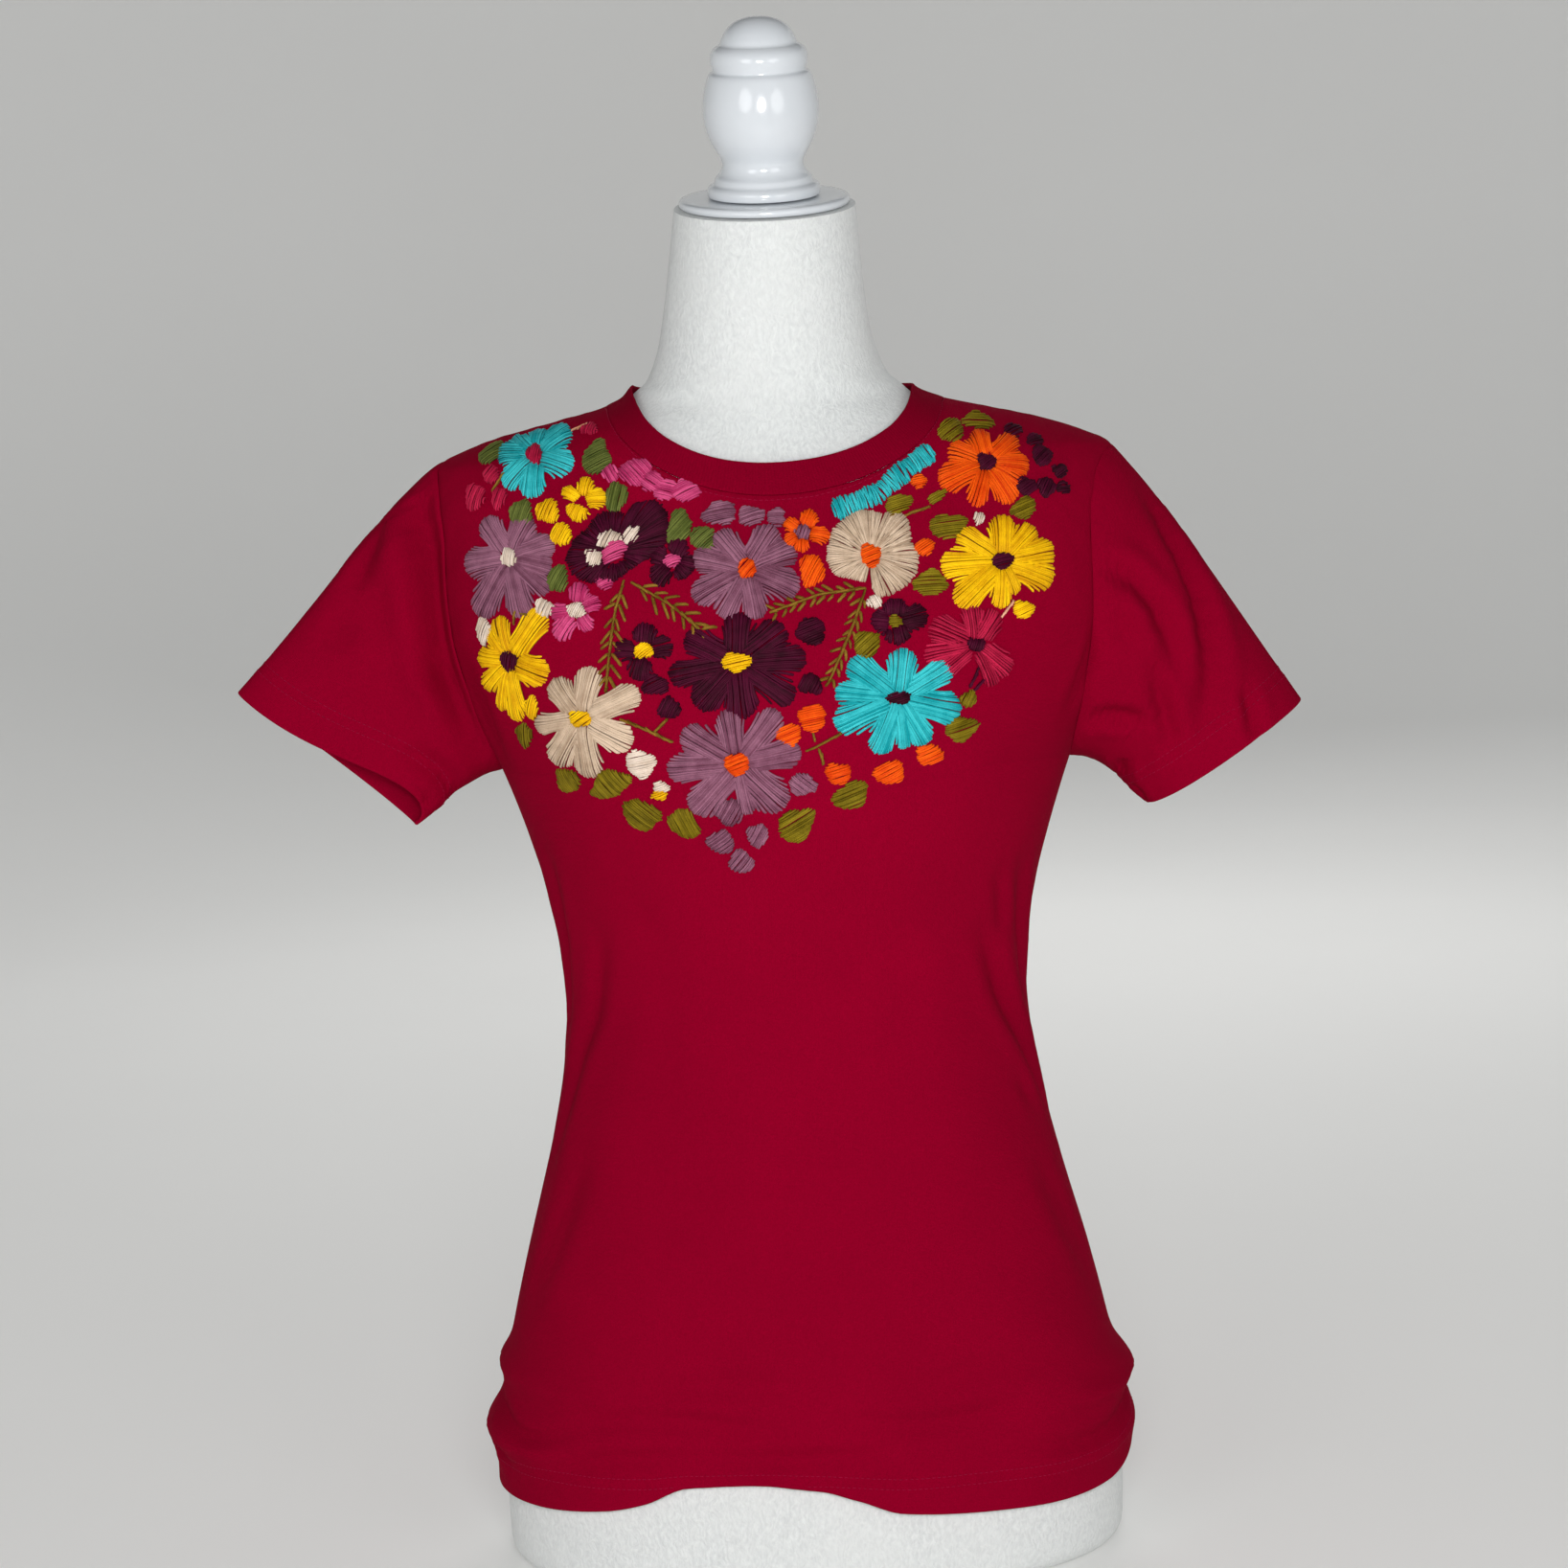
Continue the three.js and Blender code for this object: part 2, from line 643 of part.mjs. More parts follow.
// Turned pieces stand on the neck's leaning top.
function turned(profile) {
  const outline = profile.map(([radius, z]) => new THREE.Vector2(radius, z));
  return new THREE.LatheGeometry(outline, LATHE_SEGMENTS).rotateX(Math.PI / 2);
}

function discProfile({ radius, thick, edge }) {
  return [
    [0, 0],
    [radius - edge, 0],
    [radius, edge],
    [radius, thick - edge],
    [radius - edge, thick],
    [0, thick],
  ];
}

function mesh(name, geometry, material) {
  const made = new THREE.Mesh(geometry, material);
  made.name = name;
  return made;
}

const dressForm = new THREE.Group();
dressForm.add(mesh("form_torso", formTorso(), WHITE_JERSEY));
const neckTop = new THREE.Group();
neckTop.position.set(SWAY.at(-1).x, NECK_TOP.mid, NECK_TOP.z);
neckTop.rotation.x = THREE.MathUtils.degToRad(NECK_TOP.lean);
const disc = mesh("neck_cap", turned(discProfile(DISC)), WHITE_GLOSS);
disc.position.z = REST_GAP;
const knob = mesh("finial", turned(KNOB.map(({ radius, z }) => [radius, z])), WHITE_GLOSS);
knob.position.z = REST_GAP + DISC.thick + REST_GAP;
neckTop.add(disc, knob);
dressForm.add(neckTop);

const tShirt = new THREE.Group();
tShirt.add(mesh("shirt_front", panel(0), CHERRY));
tShirt.add(mesh("shirt_back", panel(2), CHERRY));
for (const sleeve of SLEEVES) tShirt.add(mesh(sleeve.name, sleevePiece(sleeve), CHERRY));
tShirt.add(mesh("neckband", neckband(), RIB));

const dressedForm = new THREE.Group();
dressedForm.add(dressForm, tShirt);
export default dressedForm;
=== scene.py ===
import math

import bmesh
import bpy
import numpy as np
from mathutils import Matrix, Vector
from mathutils.bvhtree import BVHTree


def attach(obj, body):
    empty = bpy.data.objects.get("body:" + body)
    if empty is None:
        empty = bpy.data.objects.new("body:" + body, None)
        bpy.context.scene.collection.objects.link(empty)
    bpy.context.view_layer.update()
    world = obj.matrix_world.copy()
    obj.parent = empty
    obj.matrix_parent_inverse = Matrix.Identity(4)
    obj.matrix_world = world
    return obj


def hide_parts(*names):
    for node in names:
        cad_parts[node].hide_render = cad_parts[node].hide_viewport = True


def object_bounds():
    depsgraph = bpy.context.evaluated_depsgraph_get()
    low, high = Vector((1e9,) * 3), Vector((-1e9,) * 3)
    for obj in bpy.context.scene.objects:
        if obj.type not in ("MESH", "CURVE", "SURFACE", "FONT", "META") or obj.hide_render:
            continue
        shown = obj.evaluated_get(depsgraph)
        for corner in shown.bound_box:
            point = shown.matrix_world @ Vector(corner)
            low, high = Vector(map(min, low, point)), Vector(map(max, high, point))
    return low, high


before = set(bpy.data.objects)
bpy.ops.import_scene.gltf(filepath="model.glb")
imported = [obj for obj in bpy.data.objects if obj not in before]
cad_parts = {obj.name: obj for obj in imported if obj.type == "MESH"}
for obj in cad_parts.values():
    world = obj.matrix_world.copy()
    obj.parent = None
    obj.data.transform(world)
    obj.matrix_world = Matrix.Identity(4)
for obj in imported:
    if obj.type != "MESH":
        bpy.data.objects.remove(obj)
cad_low, cad_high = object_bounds()
scene = bpy.context.scene
MM = 0.001  # every size below is in millimetres, and meshes are in metres


# The studio: a pale floor that sweeps up into a pale round wall, soft lamps near the lens and
# above, and a camera that looks a little down on the dressed form and leans to one side.
STAND_BACK = 1.82
LOOK_DOWN = math.radians(7)
LEAN = math.radians(2.25)
LENS = 77
aim = Vector((-0.0025, 0, 0.51 * cad_high.z))


def toward(direction):
    """The turn of a camera or lamp that looks back along a direction."""
    return Vector(direction).to_track_quat("Z", "Y").to_matrix().to_4x4()


def put_camera():
    camera = bpy.data.objects.new("camera", bpy.data.cameras.new("camera"))
    camera.data.sensor_width = 36
    camera.data.lens = LENS
    camera.data.clip_start = 0.05
    scene.collection.objects.link(camera)
    away = Vector((0, -math.cos(LOOK_DOWN), math.sin(LOOK_DOWN)))
    place = Matrix.Translation(aim + STAND_BACK * away)
    camera.matrix_world = place @ toward(away) @ Matrix.Rotation(-LEAN, 4, "Z")
    scene.camera = camera


def put_lamp(name, place, size, watts, shines):
    lamp = bpy.data.objects.new(name, bpy.data.lights.new(name, "AREA"))
    lamp.data.shape = "DISK"
    lamp.data.size = size
    lamp.data.energy = watts
    lamp.visible_glossy = shines
    scene.collection.objects.link(lamp)
    lamp.matrix_world = Matrix.Translation(place) @ toward(Vector(place) - aim)


def add_node(tree, kind, given=None, **settings):
    """A node with its settings made, and its inputs filled or joined by name or number."""
    node = tree.nodes.new(kind)
    for name, value in settings.items():
        setattr(node, name, value)
    for key, value in (given or {}).items():
        if isinstance(value, bpy.types.NodeSocket):
            tree.links.new(value, node.inputs[key])
        else:
            node.inputs[key].default_value = value
    return node


def new_finish(name, roughness, given=None):
    """A material with its shader set, its node tree, its shader and the place to paint by."""
    made = bpy.data.materials.new(name)
    made.use_nodes = True
    tree = made.node_tree
    shader = tree.nodes["Principled BSDF"]
    for key, value in {"Roughness": roughness, **(given or {})}.items():
        shader.inputs[key].default_value = value
    return made, tree, shader, add_node(tree, "ShaderNodeTexCoord").outputs["Object"]


def linear(red, green, blue):
    """A screen colour, 0 to 255, as the light it stands for."""
    shares = [c / 255 for c in (red, green, blue)]
    return [c / 12.92 if c < 0.04 else ((c + 0.055) / 1.055) ** 2.4 for c in shares] + [1]


def noise(tree, place, scale, detail, roughness=0.5):
    given = {"Vector": place, "Scale": scale, "Detail": detail, "Roughness": roughness}
    return add_node(tree, "ShaderNodeTexNoise", given).outputs["Fac"]


def blend(tree, share, low, high):
    """A colour between two."""
    given = {0: share, 6: low, 7: high}
    return add_node(tree, "ShaderNodeMix", given, data_type="RGBA").outputs[2]


def ranged(tree, value, *limits):
    """A value carried from one range to another, 0 to 1 if it isn't given."""
    given = dict(enumerate((value, *limits)))
    return add_node(tree, "ShaderNodeMapRange", given).outputs[0]


def floor_finish():
    glow = {"Emission Color": (1, 1, 0.99, 1)}
    made, tree, shader, place = new_finish("studio_floor", 0.9, glow)
    tone = blend(tree, noise(tree, place, 1.3, 3), linear(206, 206, 204), linear(214, 214, 212))
    tree.links.new(tone, shader.inputs["Base Color"])
    up = add_node(tree, "ShaderNodeSeparateXYZ", {0: place}).outputs["Z"]
    tree.links.new(ranged(tree, up, 0.0, 0.9, 0.2, 0.24), shader.inputs["Emission Strength"])
    return made


def sweep_floor():
    """The floor and its wall as one surface turned about the middle."""
    level, cove, top, around, bends = 2.3, 2.3, 3.4, 72, 16
    profile = [(0.02, 0), (level, 0)]
    for k in range(1, bends + 1):
        angle = k * math.pi / (2 * bends)
        profile.append((level + cove * math.sin(angle), cove * (1 - math.cos(angle))))
    profile.append((level + cove, top))
    turns = [2 * math.pi * k / around for k in range(around)]
    verts = [(r * math.cos(turn), r * math.sin(turn), z) for r, z in profile for turn in turns]
    faces = [list(range(around))]
    for i in range(len(profile) - 1):
        for k in range(around):
            a, b = i * around + k, i * around + (k + 1) % around
            faces.append((a, a + around, b + around, b))
    mesh = bpy.data.meshes.new("studio_floor")
    mesh.from_pydata(verts, [], faces)
    mesh.shade_smooth()
    mesh.materials.append(floor_finish())
    floor = bpy.data.objects.new("studio_floor", mesh)
    scene.collection.objects.link(floor)


put_camera()
sweep_floor()
for name, place, size, watts, shines in (
    ("lamp_by_lens", (0.04, -1.42, 0.66), 0.35, 9.2, True),
    ("lamp_left", (-1.2, -2.1, 0.8), 1.1, 8.4, True),
    ("lamp_right", (1.3, -2.0, 0.7), 1.1, 7, True),
    ("lamp_above", (0, 0.4, 3.0), 2.4, 3, True),
    ("lamp_behind", (0.4, 2.2, 1.6), 1.8, 22, False),
):
    put_lamp(name, place, size, watts, shines)
world = bpy.data.worlds.new("studio")
world.use_nodes = True
sky = world.node_tree.nodes["Background"]
sky.inputs["Color"].default_value = (0.82, 0.83, 0.84, 1)
sky.inputs["Strength"].default_value = 0.14
scene.world = world
scene.view_settings.view_transform = "Standard"


# The dress form: a firm padded torso that runs up into a neck, in white looped jersey pulled
# over it without a seam in front. Its shoulder ends are flattened where arms would begin.
FORM_COLUMNS = 132
OUTLINE_STEPS = 24
BASE_EDGE = 12  # rounding round the base
PLATE_EDGE = 7  # softness of the rim of the shoulder plates
BUST = {"across": 76, "z": 458, "spread": 54, "rise": 8}


def chart(names, rows):
    """A table as one array for each of its columns; it is read by the first."""
    return dict(zip(names.split(), np.array(rows, float).T))


# Sections from the base up: half width at the side seams, reach of front and back from the
# middle plane, the side seams' own y, squareness, and forward lean in degrees.
FIGURE = chart("z half front back mid power lean", [
    [0, 169.5, 101, 104, 2, 2.3, 0],
    [40, 170.5, 104, 109, 2, 2.3, 0],
    [80, 168.5, 106, 112, 2, 2.3, 0],
    [120, 162.5, 106, 112, 2, 2.3, 0],
    [160, 153.5, 103, 107, 3, 2.25, 0],
    [200, 142.5, 97, 99, 3, 2.2, 0],
    [240, 131.5, 91, 89, 3, 2.2, 0],
    [280, 122.5, 86, 81, 3, 2.2, 0],
    [310, 119.5, 85, 78, 3, 2.2, 0],
    [340, 121.5, 88, 77.5, 3, 2.2, 0],
    [370, 127.5, 94, 79.5, 3, 2.25, 0],
    [400, 137, 102, 84, 3, 2.3, 0],
    [438, 151, 111, 91, 3, 2.3, 0],
    [475, 167.5, 114, 96, 4, 2.3, 0],
    [515, 180, 108, 98, 4, 2.3, 0],
    [550, 183.5, 95, 96, 4, 2.3, 0],
    [575, 183.5, 81, 91, 4, 2.3, 0],
    [589, 182.5, 73, 86, 4, 2.15, 0],
    [597.5, 180, 68, 82.5, 4, 2, 0],
    [604.5, 167, 65, 79, 4, 1.85, 0],
    [612, 146, 62, 75, 4, 1.7, 0],
    [619.5, 116, 59.5, 70, 4, 1.65, 0],
    [626.5, 89, 57.5, 64.5, 4, 1.7, 0],
    [631.5, 77, 56, 61, 4, 1.8, 0],
    [637, 71, 55, 58.5, 4, 1.9, 0.5],
    [642, 65, 54.5, 56.5, 3, 2, 1],
    [651, 60.5, 54, 53.5, 1, 2, 3],
    [664, 56.5, 54.5, 50.5, -1.5, 2, 5],
    [686, 53, 56, 45.5, -5, 2, 8],
    [732, 48, 60, 36, -12, 2, 12],
])
SWAY = chart("z x", [[560, 0], [625, -3], [660, -3], [732, -0.8]])  # the neck stands aside
PLATE = chart("z half", [[420, 185], [440, 150], [520, 162], [600, 174], [612, 200]])


def read(table, values):
    """All columns of a chart at values of its first, by cubics that never overshoot."""
    names = list(table)
    key = table[names[0]]
    at = np.clip(np.asarray(values, float), key[0], key[-1])
    i = np.clip(np.searchsorted(key, at, side="right") - 1, 0, len(key) - 2)
    step = key[i + 1] - key[i]
    u = (at - key[i]) / step
    found = {}
    for name in names[1:]:
        column = table[name]
        rises = np.diff(column) / np.diff(key)
        before, after = rises[:-1], rises[1:]
        same = before * after > 0
        between = np.where(same, 2 * before * after / np.where(same, before + after, 1), 0)
        slopes = np.concatenate(([rises[0]], between, [rises[-1]]))
        rise = column[i + 1] - column[i]
        bend = (1 - u) * (slopes[i] * step - rise) - u * (slopes[i + 1] * step - rise)
        found[name] = column[i] + rise * u + u * (1 - u) * bend
    return found


def unit(vectors):
    return vectors / np.maximum(np.linalg.norm(vectors, axis=-1, keepdims=True), 1e-9)


def quarter(row, back):
    """The depth of a section's quarter, and lengths along its outline at even angles."""
    depth = np.where(back, row["back"] - row["mid"], row["front"] + row["mid"])
    angles = np.linspace(0, np.pi / 2, OUTLINE_STEPS + 1)
    power = 2 / row["power"][..., None]
    x = row["half"][..., None] * np.sin(angles) ** power
    y = depth[..., None] * np.cos(angles) ** power
    steps = np.hypot(np.diff(x), np.diff(y))
    lengths = np.concatenate((np.zeros(x.shape[:-1] + (1,)), np.cumsum(steps, -1)), -1)
    return depth, lengths


def pick(lengths, k):
    return np.take_along_axis(lengths, k[..., None], -1)[..., 0]


def angle_at(lengths, share):
    """The angle at a share of a quarter's outline."""
    wanted = share * lengths[..., -1]
    k = np.clip((lengths < wanted[..., None]).sum(-1), 1, OUTLINE_STEPS)
    low = pick(lengths, k - 1)
    return np.pi / 2 * (k - 1 + (wanted - low) / (pick(lengths, k) - low)) / OUTLINE_STEPS


def share_at(lengths, angle):
    """The share of a quarter's outline at an angle."""
    step = np.minimum(angle / (np.pi / 2), 1) * OUTLINE_STEPS
    k = np.minimum(np.floor(step).astype(int), OUTLINE_STEPS - 1)
    low = pick(lengths, k)
    return (low + (pick(lengths, k + 1) - low) * (step - k)) / lengths[..., -1]


def place_of(turn):
    """Turn is 0 in front, 1 at +X, 2 behind and 3 at -X: face, side and share of a quarter."""
    whole = np.mod(turn, 4)
    back = (whole > 1) & (whole < 3)
    side = np.where(whole <= 2, 1, -1)
    return back, side, np.where(back, np.abs(2 - whole), np.minimum(whole, 4 - whole))


def torso(turn, z, bridged=False):
    """Points of the torso. Cloth bridges the hollow between the two swells of the bust."""
    turn, z = np.broadcast_arrays(np.asarray(turn, float), np.asarray(z, float))
    row = read(FIGURE, z)
    back, side, share = place_of(turn)
    depth, lengths = quarter(row, back)
    angle = angle_at(lengths, share)
    across = row["half"] * np.sin(angle) ** (2 / row["power"])
    deep = depth * np.abs(np.cos(angle)) ** (2 / row["power"])
    off = across - BUST["across"]
    if bridged:
        off = np.maximum(off, 0)
    swell = np.exp(-((off / BUST["spread"]) ** 2) - ((z - BUST["z"]) / BUST["spread"]) ** 2)
    front = row["mid"] - deep - BUST["rise"] * swell * (1 - share**2)
    y = np.where(back, row["mid"] + deep, front)
    x = side * across + read(SWAY, z)["x"]
    return np.stack((x, y, z + (y - row["mid"]) * np.tan(np.radians(row["lean"]))), -1)


def out_of(surface, turn, z, aside=0.01, above=0.6):
    """The outward direction of a surface that is given by turn and height."""
    round_it = surface(turn + aside, z) - surface(turn - aside, z)
    up = surface(turn, z + above) - surface(turn, z - above)
    return unit(np.cross(round_it, up))


def new_piece(name, mesh, finish):
    """A finished piece of the object, in place, riding on the one body."""
    mesh.name = name
    mesh.materials.clear()
    mesh.materials.append(finish)
    made = bpy.data.objects.new(name, mesh)
    scene.collection.objects.link(made)
    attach(made, "root")
    return made


def ring_mesh(name, rings):
    """Rings stacked from the bottom up, closed at both ends."""
    count, around = rings.shape[:2]
    verts = np.concatenate((rings.reshape(-1, 3), rings[[0, -1]].mean(1))) * MM
    index = np.arange(count * around).reshape(count, around)
    index = np.concatenate((index, index[:, :1]), 1)
    a, b, c, d = index[:-1, :-1], index[:-1, 1:], index[1:, 1:], index[1:, :-1]
    faces = np.stack((a, b, c, d), -1).reshape(-1, 4).tolist()
    low, high = count * around, count * around + 1
    for k in range(around):
        faces.append((index[0, k + 1], index[0, k], low))
        faces.append((index[-1, k], index[-1, k + 1], high))
    mesh = bpy.data.meshes.new(name)
    mesh.from_pydata(verts.tolist(), [], faces)
    mesh.shade_smooth()
    mesh.set_sharp_from_angle(angle=math.radians(50))
    return mesh


def coat(tree, shader, colour, height, strength, distance):
    """Joins a colour and a fine relief to a shader."""
    given = {"Height": height, "Strength": strength, "Distance": distance}
    tree.links.new(colour, shader.inputs["Base Color"])
    tree.links.new(add_node(tree, "ShaderNodeBump", given).outputs[0], shader.inputs["Normal"])


def looped_jersey():
    """White looped jersey: short soft strokes of yarn, a little greyer between them by painted shade.
    """
    soft = {"Sheen Weight": 0.15, "Specular IOR Level": 0.2}
    made, tree, shader, place = new_finish("looped_white_jersey", 0.95, soft)
    sway = add_node(tree, "ShaderNodeTexNoise", {"Vector": place, "Scale": 120, "Detail": 1})
    given = {0: sway.outputs["Color"], 1: (0.006, 0.006, 0.006), 2: place}
    bent = add_node(tree, "ShaderNodeVectorMath", given, operation="MULTIPLY_ADD")
    drawn = add_node(tree, "ShaderNodeMapping", {"Vector": bent.outputs[0], "Scale": (1, 1, 0.45)})
    loops = noise(tree, drawn.outputs[0], 620, 3, 0.6)
    # painted shade: the colour is darker where the loops' relief is low, between the strokes
    lit = ranged(tree, loops, 0.32, 0.68)
    yarn_and_loop_shade = blend(tree, lit, linear(199, 202, 203), linear(231, 234, 233))
    soiling_and_loop_shade = blend(tree, noise(tree, place, 28, 4), yarn_and_loop_shade, linear(222, 224, 223))
    coat(tree, shader, soiling_and_loop_shade, loops, 0.55, 0.0011)
    return made


def form_rings():
    edge = BASE_EDGE * (1 - np.cos(np.linspace(0, np.pi / 2, 7)))
    heights = np.concatenate(
        (edge, np.arange(17, 560, 5), np.arange(560, 650, 2), np.arange(650, 730, 4), [732])
    )
    turns = 4 * np.arange(FORM_COLUMNS) / FORM_COLUMNS
    turn, z = np.meshgrid(turns, heights)
    rings = torso(turn, z)
    inset = BASE_EDGE - np.sqrt(BASE_EDGE**2 - np.maximum(BASE_EDGE - z, 0) ** 2)
    out = out_of(torso, turn, np.full_like(z, BASE_EDGE)) * (1, 1, 0)
    rings -= unit(out) * inset[..., None]
    plate = read(PLATE, z)["half"]
    over = np.maximum(np.abs(rings[..., 0]) - (plate - PLATE_EDGE), 0)
    held = np.sign(rings[..., 0]) * (plate - PLATE_EDGE * np.exp(-over / PLATE_EDGE))
    rings[..., 0] = np.where(over > 0, held, rings[..., 0])
    return rings


dress_form = new_piece("dress_form", ring_mesh("dress_form", form_rings()), looped_jersey())
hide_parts("form_torso")


# The knob and its disc: turned wood under thick white gloss paint. The paint rounds every edge
# and pools a little in the grooves.
AROUND = 96
DISC = [(0, 0), (43.8, 0), (45.3, 1.5), (45.3, 3.5), (43.8, 5), (0, 5)]
KNOB = [
    (0, 0), (29, 0), (29.9, 1.2), (29.9, 4.6), (28.6, 6.2), (26.6, 7), (26, 8.4),
    (25.4, 10.4), (23.4, 12), (22, 14.4), (21.4, 17.6), (22.4, 20.8), (25.6, 26),
    (28.8, 33), (30.5, 41), (30.6, 48), (29.4, 56), (27, 64), (24.6, 65), (24.7, 66.6),
    (25.6, 69), (25.7, 73), (24.4, 76.2), (22.2, 78), (20.2, 78.8), (19.2, 82),
    (16.6, 86.8), (12, 90.4), (6.2, 92.4), (0, 93),
]
REST_GAP = 0.3  # between the neck, the disc and the knob


def rounded(points, rounds):
    """An open outline with its corners cut again and again; the ends stay."""
    line = np.array(points, float)
    for _ in range(rounds):
        cut = np.stack((0.75 * line[:-1] + 0.25 * line[1:], 0.25 * line[:-1] + 0.75 * line[1:]), 1)
        line = np.concatenate((line[:1], cut.reshape(-1, line.shape[1])[1:-1], line[-1:]))
    return line


def turned(name, outline, lift):
    """An outline turned about the neck's leaning line."""
    angles = 2 * np.pi * np.arange(AROUND) / AROUND
    radius, z = outline[1:-1, :1], outline[1:-1, 1:]
    rings = np.stack((radius * np.cos(angles), radius * np.sin(angles), z + 0 * angles), -1)
    mesh = ring_mesh(name, rings)
    top = {column: values[-1] for column, values in FIGURE.items()}
    place = Vector((SWAY["x"][-1], top["mid"], top["z"])) * MM
    lean = Matrix.Rotation(math.radians(top["lean"]), 4, "X")
    mesh.transform(Matrix.Translation(place) @ lean @ Matrix.Translation((0, 0, lift * MM)))
    return mesh


def gloss_paint():
    """Brushed gloss paint, faintly blue, with the soft waves that a brush leaves."""
    clear = {"Coat Weight": 0.6, "Coat Roughness": 0.06}
    made, tree, shader, place = new_finish("white_gloss_paint", 0.16, clear)
    tone = blend(tree, noise(tree, place, 30, 3), linear(207, 212, 217), linear(219, 223, 228))
    coat(tree, shader, tone, noise(tree, place, 90, 2), 0.12, 0.0006)
    return made


PAINT = gloss_paint()
neck_disc = new_piece("neck_disc", turned("neck_disc", rounded(DISC, 2), REST_GAP), PAINT)
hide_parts("neck_cap")
knob_lift = 2 * REST_GAP + DISC[-1][1]
turned_knob = new_piece("turned_knob", turned("turned_knob", rounded(KNOB, 2), knob_lift), PAINT)
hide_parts("finial")


# The front of the t-shirt: one panel of cherry cotton jersey, cut flat and drawn over the form
# with a little ease. Its hem is turned up 20 mm and rolls under at the middle; the rolls at the
# hips, the soft creases at the waist and the dips along the seams are pressed in.
UNDER = {-1: 438, 1: 434}  # height of the underarm seam on each side
SHOULDER_TIP = {-1: 601.5, 1: 598}
ARMHOLE_REACH = {-1: (40, 56), 1: (59, 48)}  # of the armhole, forward and back
ARMHOLE_FULLNESS = 0.8  # below 1 the armhole is fuller than an ellipse
HEM_CROWDING, TIP_CROWDING = 1.4, 0.8  # of a panel's rows, at its hem and up the armhole
EDGE_FADE, SIDE_FADE = 4, 2.4  # how fast a panel's shaped edges lose their pull inwards
NECK_SHARE = 7 / 13  # of a panel's half, from its middle to the neck point
SEAM_GAP = 0.3
JERSEY = 0.9  # thickness of one layer
LEAST_EASE = 1.15  # of the cloth's middle off the form
HEM_TURNED = 20
FOLD_BENDS = 6  # steps in a hem's round fold
FOLD_RADIUS = 0.75  # of the cloth's middle round a hem's edge
QUARTER_RUN = 150  # about the length of a quarter turn round the shirt
FOLD_SAMPLES = 30  # points along a crease
LIP, LIP_AWAY = 0.35, 1.9
PUCKER_LENGTHS = (37, 23, 14, 9.5, 61)
SIDE_DIP, TOP_DIP = (0.4, 1.5), (0.25, 1.2)  # depth and width of the dip along a seam
YOKE_LOW, YOKE_SLOPE, YOKE_MIDDLE = 395, 0.7, -25  # the stitched yoke's lower edge, a V
BODY_STEPS, HOLE_STEPS, PANEL_COLUMNS = 150, 80, 157
NEEDLES = (21, 15.4)  # distances of the twin needle rows from a hem's edge
EASE = chart("z side front back", [
    [0, 4, 6, 5],
    [60, 4, 5, 5],
    [100, 2.4, 3, 3.5],
    [150, 2.1, 3, 4],
    [220, 2.6, 6, 7],
    [300, 5.5, 8, 10],
    [360, 5, 8, 10],
    [410, 3, 5, 7],
    [450, 2.1, 2.2, 3.4],
    [510, 2, 2.4, 2.4],
    [570, 1.9, 2.2, 2.2],
    [600, 3, 3.6, 4.2],
    [615, 2.8, 3.2, 3.5],
    [640, 1.7, 1.7, 1.7],
])
# Rolls over the hips: side, height, tall above and under below, how far out, and reach.
ROLLS = [
    (-1, 109, 9, 6, 5, 0.3),
    (-1, 75, 12, 10, 8, 0.4),
    (1, 93, 13, 5, 8.5, 0.34),
    (1, 67, 13, 12, 4, 0.4),
]
HEM = chart("turn z hidden", [
    [-1, 45, 0],
    [-0.82, 45.5, 0],
    [-0.68, 46.5, 0],
    [-0.5, 51, 3],
    [-0.4, 57, 8],
    [-0.3, 67, 15.5],
    [-0.15, 69, 16.5],
    [0, 65, 14],
    [0.1, 58, 9],
    [0.2, 49.5, 3],
    [0.45, 45, 0],
    [0.6, 43.5, 0],
    [0.75, 45, 0],
    [0.9, 52, 0],
    [1, 61, 0],
    [1.3, 62, 0],
    [1.65, 56, 0],
    [2, 60, 0],
    [2.4, 54, 0],
    [2.75, 51, 0],
    [3, 45, 0],
])
NECK_SEAM = {-1: 628, 1: 625.5, "front": 580.5, "back": 623.5, "lift": 1.2}


def bridged(turn, z):
    return torso(turn, z, True)


def bell(gap, width):
    return np.exp(-((gap / width) ** 2))


def dip(gap, depth, width):
    return depth * bell(gap, width)


def ease_at(turn, z):
    """How far the cloth's middle lies off the form, rolls over the hips and all."""
    back, side, share = place_of(turn)
    ease = read(EASE, z)
    face = np.where(back, ease["back"], ease["front"])
    off = face + (ease["side"] - face) * np.sin(share * np.pi / 2) ** 2
    for where, height, tall, under, out, reach in ROLLS:
        rise = np.where(z > height, tall, under)
        round_it = bell(1 - share, reach)
        round_up = np.exp(-(np.abs((z - height) / rise) ** 1.7))
        off += np.where(side == where, out * round_it * round_up, 0)
    return off


def shirt(turn, z):
    """The middle of the cloth, before it is creased."""
    turn, z = np.broadcast_arrays(np.asarray(turn, float), np.asarray(z, float))
    return bridged(turn, z) + out_of(bridged, turn, z) * ease_at(turn, z)[..., None]


